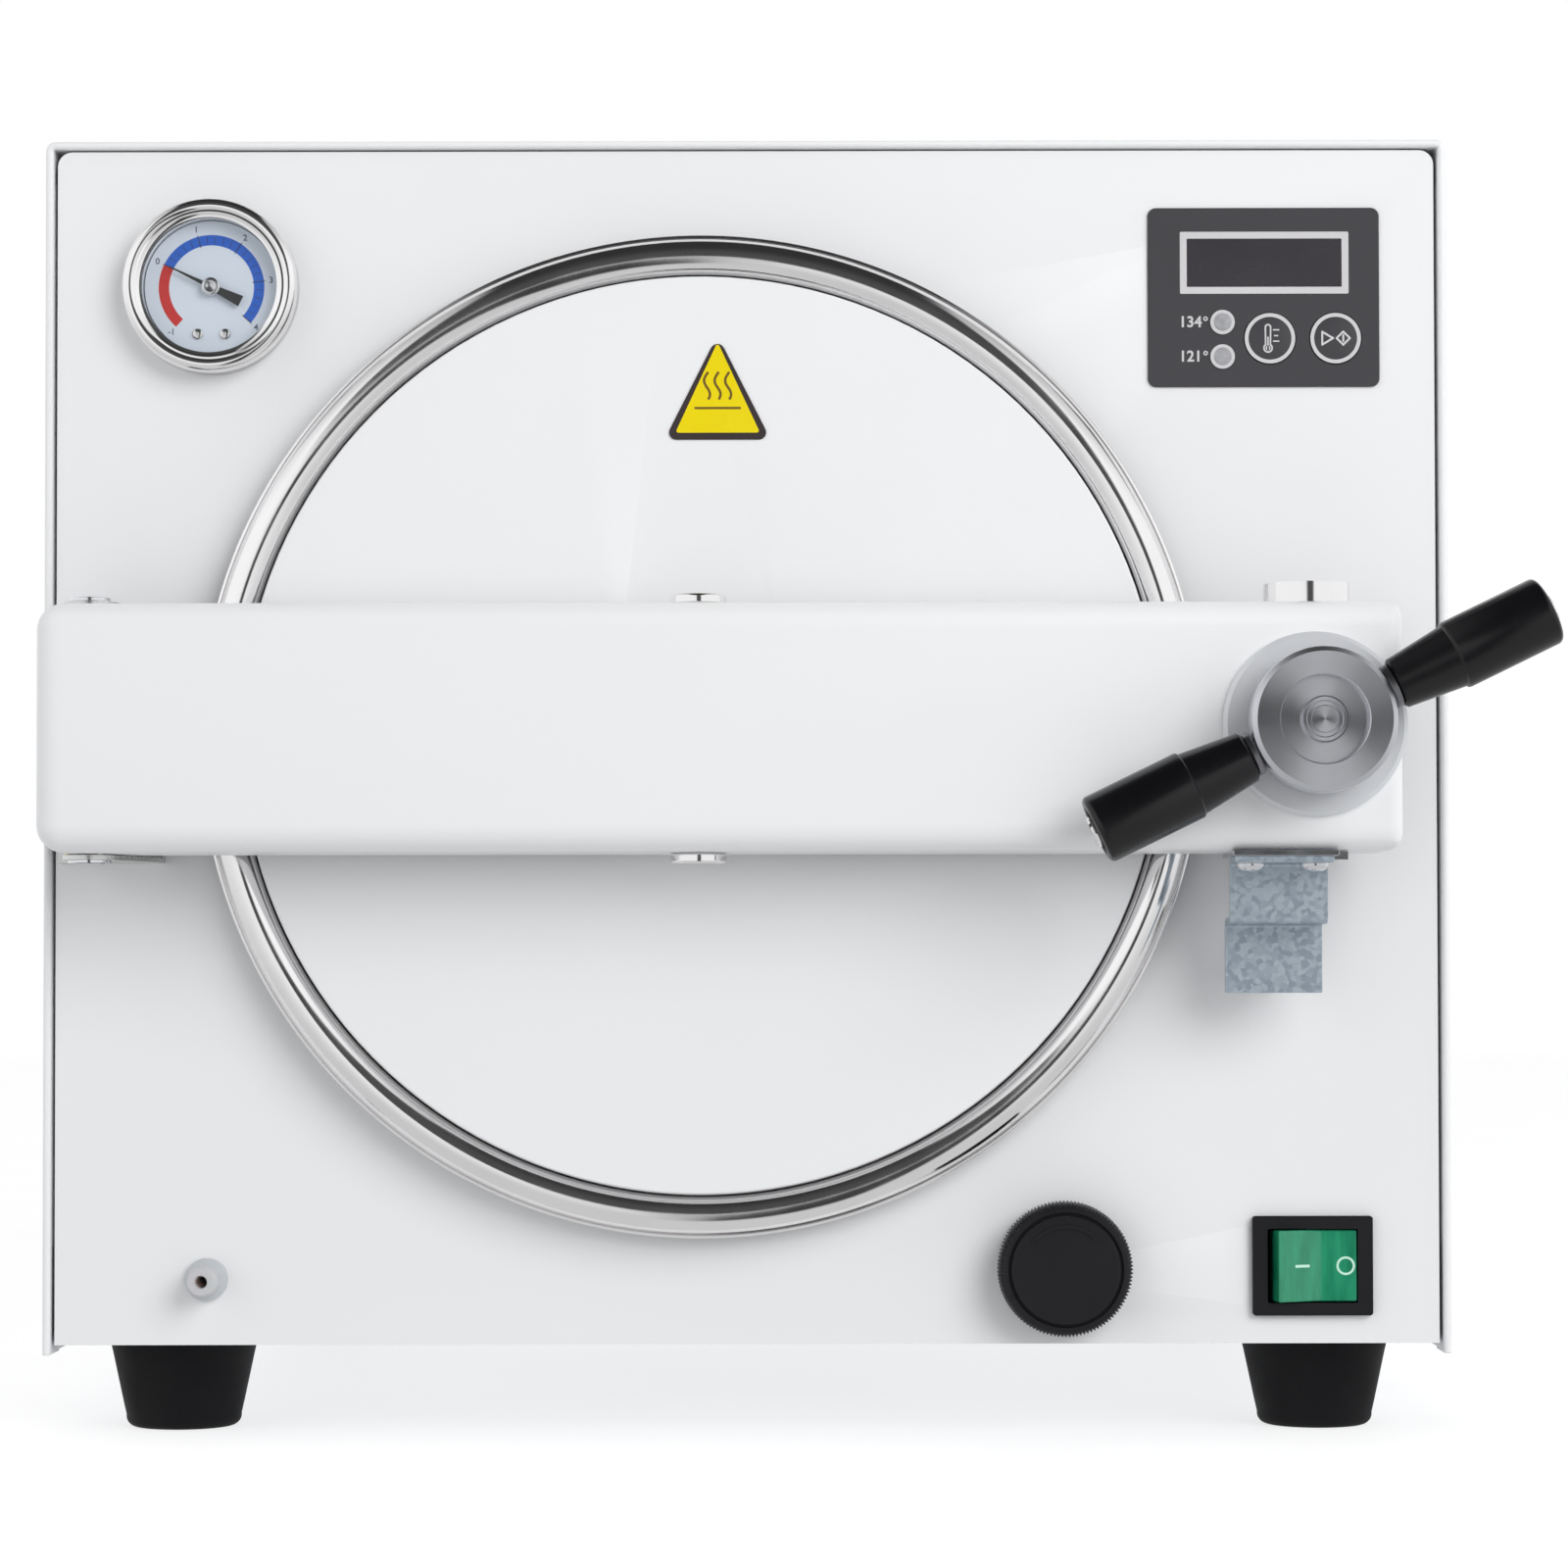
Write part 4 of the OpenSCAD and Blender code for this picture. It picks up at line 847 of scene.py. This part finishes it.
def gauge_dial(at):
    """The dial with a red and a blue arc, plain numbers and its two screws."""
    face = box_mm("gauge_dial")[0].y + 0.8
    turned_piece("gauge_dial_disc", [(0.7, face), (20.4, face), (20.6, face + 0.2), (20.6, face + 0.8),
                                     (0.7, face + 0.8)], 128, "dial_white", "gauge_dial", closed=True, at=at)
    front, back = face - 0.03, face + 0.2
    inner, rim, marks, per_number = 13.0, 16.2, 20, 5
    size, number_r, minus_r = 2.7, 18.4, 18.3
    blue, red, ticks, digits, screws = (bmesh.new() for _ in range(5))
    ring_sector(blue, inner, rim, ZERO_ANGLE, SCALE_END, 64, front, back)
    ring_sector(red, inner, rim, SCALE_START, ZERO_ANGLE, 28, front, back)
    step = (ZERO_ANGLE - SCALE_END) / marks
    for k in range(marks + 1):
        angle = math.radians(ZERO_ANGLE - k * step)
        ahead = Vector((math.cos(angle), math.sin(angle)))
        start, end, wide = (13.6, 15.6, 0.16) if k % per_number else (12.6, 16.6, 0.26)
        plate(ticks, band([tuple(ahead * start), tuple(ahead * end)], wide), front - 0.03, back)
    for value in range(marks // per_number + 1):
        angle = math.radians(ZERO_ANGLE - value * per_number * step)
        spot = (number_r * math.cos(angle), number_r * math.sin(angle))
        lettering(digits, str(value), size, spot, front, back)
    angle = math.radians(SCALE_START)
    lettering(digits, "-1", size, (minus_r * math.cos(angle), minus_r * math.sin(angle)), front, back)
    for dx in (-4.2, 4.2):
        lathe(screws, [(1.8, face), (1.75, face - 0.35), (1.5, face - 0.62), (1.0, face - 0.78),
                       (0.55, face - 0.8), (0.5, face - 0.6)], 32, at=(dx, -14.3))
    for name, bm, ink in (("arc_blue", blue, "blue"), ("arc_red", red, "red"), ("ticks", ticks, "dark"),
                          ("digits", digits, "grey")):
        make("dial_" + name, bm, "print_" + ink, on="gauge_dial", at=at, slot="dial_white")
    make("dial_screws", screws, "chrome", on="gauge_dial", at=at, slot="zinc_screws")


def gauge_needle(at):
    """The pointer with its broad tail, and the turned boss that holds it."""
    front = -5.3
    hand = bmesh.new()
    plate(hand, [(-2.4, -0.9), (0, -0.75), (14.4, -0.14), (14.4, 0.14), (0, 0.75), (-2.4, 0.9)],
          front, front + 0.35)
    plate(hand, [(-1.5, -1.0), (-10.2, -1.75), (-10.2, 1.75), (-1.5, 1.0)], front + 0.05, front + 0.45)
    make("gauge_pointer", hand, "gauge_black", "gauge_needle", at=at,
         turn=Matrix.Rotation(-math.radians(ZERO_ANGLE), 4, "Y"))
    turned_piece("gauge_boss", [(0.6, 1.5), (0.6, front + 0.6), (2.8, front + 0.5), (2.8, front - 0.35),
                                (2.5, front - 0.6), (1.5, front - 0.7), (1.1, front - 0.45)],
                 40, "zinc_screws", on="gauge_needle", at=at)


def gauge():
    at = facing_spot("gauge_bezel")
    gauge_bezel(at)
    gauge_dial(at)
    gauge_needle(at)
    low, high = box_mm("gauge_lens")
    pane = [(21.4, high.y), (21.4, low.y + 0.2), (21.0, low.y), (5, low.y)]
    turned_piece("gauge_lens_pane", pane, 96, "clear_lens", "gauge_lens", at=at)


# ---- Keypad ----

PRINT_FRONT, PRINT_BACK = -0.06, 0.2


def thermometer(bm, front, back):
    """Outline of a thermometer with three marks beside it."""
    top, bulb = (-0.6, 3.4), (-0.6, -3.0)
    stem = arc(1.05, 0, 180, 10, top) + arc(1.5, 130, 410, 18, bulb)
    inner = arc(0.55, 0, 180, 10, top) + arc(1.0, 120, 420, 18, bulb)
    hollow_plate(bm, stem, inner, front, back)
    plate(bm, rectangle(0.45, 4.2, 0.2, (-0.6, -1.6), 3), front, back)
    plate(bm, circle(0.75, 20, bulb), front, back)
    for z, length in ((2.6, 2.0), (0.8, 1.3), (-0.9, 2.0)):
        plate(bm, rectangle(length, 0.42, 0.15, (1.9, z), 3), front, back)


def start_sign(bm, front, back):
    """A triangle beside a diamond with a bar in it."""
    outer = filleted([(-4.4, -2.5), (-0.2, 0), (-4.4, 2.5)], 0.25, 3)
    inner = filleted([(-3.8, -1.45), (-1.4, 0), (-3.8, 1.45)], 0.1, 3)
    hollow_plate(bm, outer, inner, front, back)
    diamond = filleted([(-0.1, 0), (2.35, -2.45), (4.8, 0), (2.35, 2.45)], 0.2, 3)
    hole = filleted([(0.75, 0), (2.35, -1.6), (3.95, 0), (2.35, 1.6)], 0.1, 3)
    hollow_plate(bm, diamond, hole, front, back)
    plate(bm, rectangle(0.6, 2.3, 0.2, (2.35, 0), 3), front, back)


def display(film):
    """The dark window and its printed border."""
    low, high = box_mm("display_window")
    centre, wide, tall, border = (low + high) / 2, high.x - low.x, high.z - low.z, 2.1
    at = (centre.x, 0, centre.z)
    border_print, window = bmesh.new(), bmesh.new()
    hollow_plate(border_print, rectangle(wide + 2 * border, tall + 2 * border, 0.4),
                 rectangle(wide, tall, 0.3), film + PRINT_FRONT, film + 0.3)
    make("display_border", border_print, "print_light", on="control_overlay", at=at,
         slot="overlay_film")
    plate(window, rectangle(wide, tall, 0.3), low.y, high.y)
    make("display_pane", window, "smoked_window", "display_window", at=at, edge=0.12)


def lamps(film):
    """The two lamps, each with a ring and a temperature in plain numbers."""
    lenses, rings, digits = (bmesh.new() for _ in range(3))
    by_height = sorted(solids("indicator_lamps"), key=lambda pair: pair[0].z)
    for (low, high), text in zip(by_height, ("121", "134")):
        x, z = ((low + high) / 2).xz
        lathe(lenses, [(2.4, high.y), (2.4, 2.5), (3.4, 2.5), (3.4, -0.9), (2.9, -1.2), (2.3, -1.45),
                       (1.4, -1.6), (0.4, -1.65)], 48, at=(x, z))
        hollow_plate(rings, circle(3.75, 48, (x, z)), circle(2.75, 48, (x, z)), film - 0.5, film + 0.1)
        front, back = film + PRINT_FRONT, film + PRINT_BACK
        lettering(digits, text, 4.7, (x - 6.3, z), front, back, "RIGHT")
        degree = (x - 5.2, z + 1.1)
        hollow_plate(digits, circle(0.72, 20, degree), circle(0.32, 20, degree), front, back)
    make("lamp_domes", lenses, "lamp_lens", "indicator_lamps")
    for name, bm in (("lamp_rings", rings), ("lamp_digits", digits)):
        make(name, bm, "print_light", on="control_overlay", slot="overlay_film")


def key(node, sign):
    """A domed key with a printed ring round its sign."""
    low, high = box_mm(node)
    at = facing_spot(node)
    cap = [(3, high.y), (3, 2.4), (7.65, 2.4), (7.65, low.y + 0.15), (7.4, low.y), (2.0, low.y)]
    turned_piece(node + "_cap", cap, 72, "overlay_film", node, at=at)
    front, back = low.y + PRINT_FRONT, low.y + PRINT_BACK
    marks = bmesh.new()
    hollow_plate(marks, circle(7.75, 72), circle(6.6, 72), front, back)
    sign(marks, front, back)
    make(node + "_marks", marks, "print_light", on=node, at=at, slot="overlay_film")


def keypad():
    refined("control_overlay", "overlay_film", 0.25)
    film = box_mm("control_overlay")[0].y
    display(film)
    lamps(film)
    key("key_temperature", thermometer)
    key("key_start", start_sign)


# ---- Lower controls ----

def knob():
    """The knurled exhaust knob with a raised turning arrow and a pip."""
    low, high = box_mm("valve_knob")
    radius, front, back = half_width("valve_knob") - 0.05, low.y, high.y
    teeth, per_tooth, depth = 112, 6, 0.8

    def knurl(r, turn):
        grip = max(0.0, min(1.0, (r - (radius - 1.5)) / 1.2))
        return -depth * grip * (0.5 - 0.5 * math.cos(turn * teeth))

    outside = [(3.0, front + 3), (3.0, back), (7, back), (radius - 1.2, back), (radius, back - 0.9),
               (radius, back - 5), (radius, front + 4.2), (radius, front + 3.0), (radius - 0.45, front + 1.9),
               (radius - 1.3, front + 1.1), (radius - 2.2, front + 0.75), (17.4, front + 0.75),
               (17.1, front + 1.5), (16.8, front + 1.5), (16.55, front + 0.5), (16.1, front + 0.08),
               (15.5, front), (2, front + 0.12)]
    at = facing_spot("valve_knob")
    turned_piece("valve_knob_knurled", outside, teeth * per_tooth, "black_plastic", "valve_knob",
                 ripple=knurl, at=at, crease=35)
    arrow = bmesh.new()
    arrow_r, start, end, pip_r, pip = 13.2, 142, 52, 18.2, math.radians(207)
    path = arc(arrow_r, start, end, 32)
    plate(arrow, band(path, 1.2), front - 0.4, front + 0.5)
    tip = Vector(path[-1])
    along = Vector((math.sin(math.radians(end)), -math.cos(math.radians(end))))
    side = Vector((-along.y, along.x))
    head = [tuple(tip + side * 1.3), tuple(tip + along * 2.6), tuple(tip - side * 1.3)]
    plate(arrow, head, front - 0.22, front + 0.5)
    plate(arrow, circle(0.8, 20, (pip_r * math.cos(pip), pip_r * math.sin(pip))), front + 0.4, front + 1.2)
    make("valve_knob_arrow", arrow, "black_plastic", on="valve_knob", at=at, edge=0.1)


def nipple():
    """The moulded drain nipple with its collar and a thin lip."""
    low, high = box_mm("drain_nipple")
    front, bore, tube, collar = low.y, 1.9, 4.7, 6.5
    profile = [(bore, high.y), (bore, front + 0.4), (2.2, front), (3.9, front), (4.6, front + 0.7),
               (tube, front + 1.4), (tube, -3.2), (5.3, -2.7), (6.1, -2.4), (collar, -2.0), (collar, 0.0),
               (tube, 0.0), (tube, high.y)]
    turned_piece("drain_nipple_turned", profile, 64, "pale_nylon", "drain_nipple", closed=True,
                 at=facing_spot("drain_nipple"), crease=40)


ROCKER_SWING = 11
ROCKER_PIVOT = 3.0


def rocker():
    """The green rocker, its two faces meeting in a soft valley, with an on and an off mark."""
    half, tall, valley, middle_y, pin_r, pin_half = 12.8, 21.8, 1.2, -5, 1.5, 12
    rise = half * math.tan(math.radians(ROCKER_SWING))
    face = [(x, middle_y - rise * max(0.0, (abs(x) - valley) / (half - 1.6)) 
             - 0.12 * math.cos(x * math.pi / 16))
            for x in ((-half + 0.4) + (2 * half - 0.8) * k / 24 for k in range(25))]
    outline = [(-half + 1.6, 4.5), (-half, 1)] + face + [(half, 1), (half - 1.6, 4.5), (0, 6.2)]
    bm = bmesh.new()
    skin(bm, [[(x, y, z) for x, y in outline] for z in (-tall / 2, tall / 2)])
    skin(bm, [[(x, y, z) for x, y in circle(pin_r, 24)] for z in (-pin_half, pin_half)])
    turn = Matrix.Rotation(math.radians(ROCKER_SWING), 4, "Z")
    x, _, z = facing_spot("switch_housing")
    at = (x, ROCKER_PIVOT, z)
    make("rocker_lens", bm, "green_rocker", "switch_rocker", at=at, turn=turn, edge=0.55, crease=30)
    bar, ring = bmesh.new(), bmesh.new()
    plate(bar, rectangle(5.0, 0.85, 0.3, steps=3), -0.05, 0.25)
    hollow_plate(ring, circle(2.85, 40), circle(2.15, 40), -0.05, 0.25)
    for name, mark, spot in (("rocker_mark_on", bar, -4.5), ("rocker_mark_off", ring, 8.9)):
        tilt = Matrix.Rotation(-math.copysign(math.radians(ROCKER_SWING), spot), 4, "Z")
        depth = middle_y - rise * (abs(spot) - valley) / (half - 1.6) - 0.08
        make(name, mark, "print_mint", on="switch_rocker", at=at,
             turn=turn @ Matrix.Translation((spot, depth, 0)) @ tilt, slot="green_rocker")


def lower_controls():
    knob()
    nipple()
    refined("switch_housing", "black_plastic", 0.5)
    rocker()


# ---- Screws ----

def screws():
    """Domed cross-head screws wherever the CAD has one."""
    front_seat, side_seat, under_seat = 2.5, 2.1, 2.95

    def panel_seat(low, high):
        return Vector(((low.x + high.x) / 2, low.y + front_seat, (low.z + high.z) / 2))

    def outward(low, high):
        return Matrix.Rotation(math.pi / 2 if low.x > 0 else -math.pi / 2, 4, "Z")

    def hood_seat(low, high):
        x = high.x - side_seat if low.x > 0 else low.x + side_seat
        return Vector((x, (low.y + high.y) / 2, (low.z + high.z) / 2))

    def arm_seat(low, high):
        return Vector(((low.x + high.x) / 2, (low.y + high.y) / 2, low.z + under_seat))

    place_screws("panel_screws", screw_head(4.2, 2.4), lambda low, high: Matrix(), panel_seat)
    place_screws("case_screws", screw_head(4.0, 2.1), outward, hood_seat)
    place_screws("bracket_screws", screw_head(4.35, 2.9),
                 lambda low, high: Matrix.Rotation(math.pi / 2, 4, "X"), arm_seat)


# ---- Studio ----

def world_light():
    """A bright studio all round, dark in a strip up its front so that polished metal shows bands.
    The camera itself sees plain white."""
    world = bpy.data.worlds.new("studio")
    SCENE.world = world
    world.use_nodes = True
    nodes, links = world.node_tree.nodes, world.node_tree.links
    nodes.clear()

    def ranged(source, start, end, low=0.0, high=1.0):
        made = nodes.new("ShaderNodeMapRange")
        made.interpolation_type = "SMOOTHSTEP"
        links.new(source, made.inputs["Value"])
        for name, value in (("From Min", start), ("From Max", end), ("To Min", low), ("To Max", high)):
            made.inputs[name].default_value = value
        return made.outputs["Result"]

    def maths(operation, *sources):
        made = nodes.new("ShaderNodeMath")
        made.operation = operation
        for i, source in enumerate(sources):
            if isinstance(source, (int, float)):
                made.inputs[i].default_value = source
            else:
                links.new(source, made.inputs[i])
        return made.outputs["Value"]

    where = nodes.new("ShaderNodeTexCoord").outputs["Generated"]
    parts = nodes.new("ShaderNodeSeparateXYZ")
    links.new(where, parts.inputs["Vector"])
    x, y, z = (parts.outputs[c] for c in "XYZ")
    # How dark the strip is: full between its soft sides, above its foot and in front
    soft, darkest = 0.03, 0.93
    middle_x, half = ranged(z, 0.0, 0.4, 0.09, 0.0), ranged(z, 0.0, 0.5, 0.12, 0.44)
    off = maths("ABSOLUTE", maths("SUBTRACT", x, middle_x))
    strip = ranged(maths("SUBTRACT", off, half), -soft, soft, 1.0, 0.0)
    risen = maths("MULTIPLY", strip, ranged(z, -0.72, -0.55))
    ahead = maths("MULTIPLY", risen, ranged(y, 0.30, 0.70, 1.0, 0.0))
    # How bright the rest is: dimmer below the horizon and overhead
    lift = maths("MULTIPLY", ranged(z, -0.6, 0.3, 0.67, 1.08), ranged(z, 0.4, 0.95, 1.0, 0.45))
    strength = maths("MULTIPLY", lift, maths("SUBTRACT", 1.0, maths("MULTIPLY", ahead, darkest)))
    studio = nodes.new("ShaderNodeBackground")
    links.new(strength, studio.inputs["Strength"])
    studio.inputs["Color"].default_value = (0.985, 0.99, 1.0, 1)
    plain = nodes.new("ShaderNodeBackground")
    plain.inputs["Color"].default_value = (1, 1, 1, 1)
    plain.inputs["Strength"].default_value = 1.0
    mix = nodes.new("ShaderNodeMixShader")
    links.new(nodes.new("ShaderNodeLightPath").outputs["Is Camera Ray"], mix.inputs["Fac"])
    links.new(studio.outputs[0], mix.inputs[1])
    links.new(plain.outputs[0], mix.inputs[2])
    out = nodes.new("ShaderNodeOutputWorld")
    links.new(mix.outputs[0], out.inputs["Surface"])


def area_light(name, spot, target, size, power):
    light = bpy.data.lights.new(name, "AREA")
    light.shape = "DISK"
    light.size = size
    light.energy = power
    lamp = bpy.data.objects.new(name, light)
    SCENE.collection.objects.link(lamp)
    lamp.location = spot
    lamp.rotation_euler = (Vector(target) - Vector(spot)).to_track_quat("-Z", "Y").to_euler()
    lamp.visible_glossy = False


def floor():
    """A pale floor that glows a little; the object doesn't see it, so that its light stays even."""
    half = 6
    mesh = bpy.data.meshes.new("floor")
    corners = [(-half, -half, 0), (half, -half, 0), (half, half, 0), (-half, half, 0)]
    mesh.from_pydata(corners, [], [range(4)])
    glow = textured("floor", (0.34, 0.34, 0.345), (0.6, 0.7), 400, 0.01, spread=0.004, patch=3,
                    Emission_Color=(1, 1, 1, 1), Emission_Strength=0.74, Specular_IOR_Level=0.1)
    mesh.materials.append(glow)
    ground = bpy.data.objects.new("floor", mesh)
    SCENE.collection.objects.link(ground)
    ground.visible_diffuse = False
    ground.visible_glossy = False


def camera():
    """Straight on and a little below the door's axis, as a catalogue picture is taken."""
    spot, pitch, roll = (22, -1250, 111), 91.5, 0.1
    data = bpy.data.cameras.new("camera")
    data.lens = 93.75
    data.sensor_width = 36
    data.shift_x = -0.022
    data.shift_y = 0.057
    eye = bpy.data.objects.new("camera", data)
    SCENE.collection.objects.link(eye)
    eye.location = PANEL + Vector(spot) * MM
    eye.rotation_euler = (math.radians(pitch), math.radians(roll), 0)
    SCENE.camera = eye


def studio():
    camera()
    floor()
    world_light()
    area_light("key", (1.1, -1.9, 1.1), (0, -0.1, 0.15), 1.5, 24)
    area_light("top", (-0.5, -0.9, 1.8), (0, 0, 0.2), 1.4, 4)
    SCENE.view_settings.view_transform = "Standard"


finishes()
studio()
dress_cad_nodes()
cabinet()
door()
lock()
gauge()
keypad()
lower_controls()
screws()
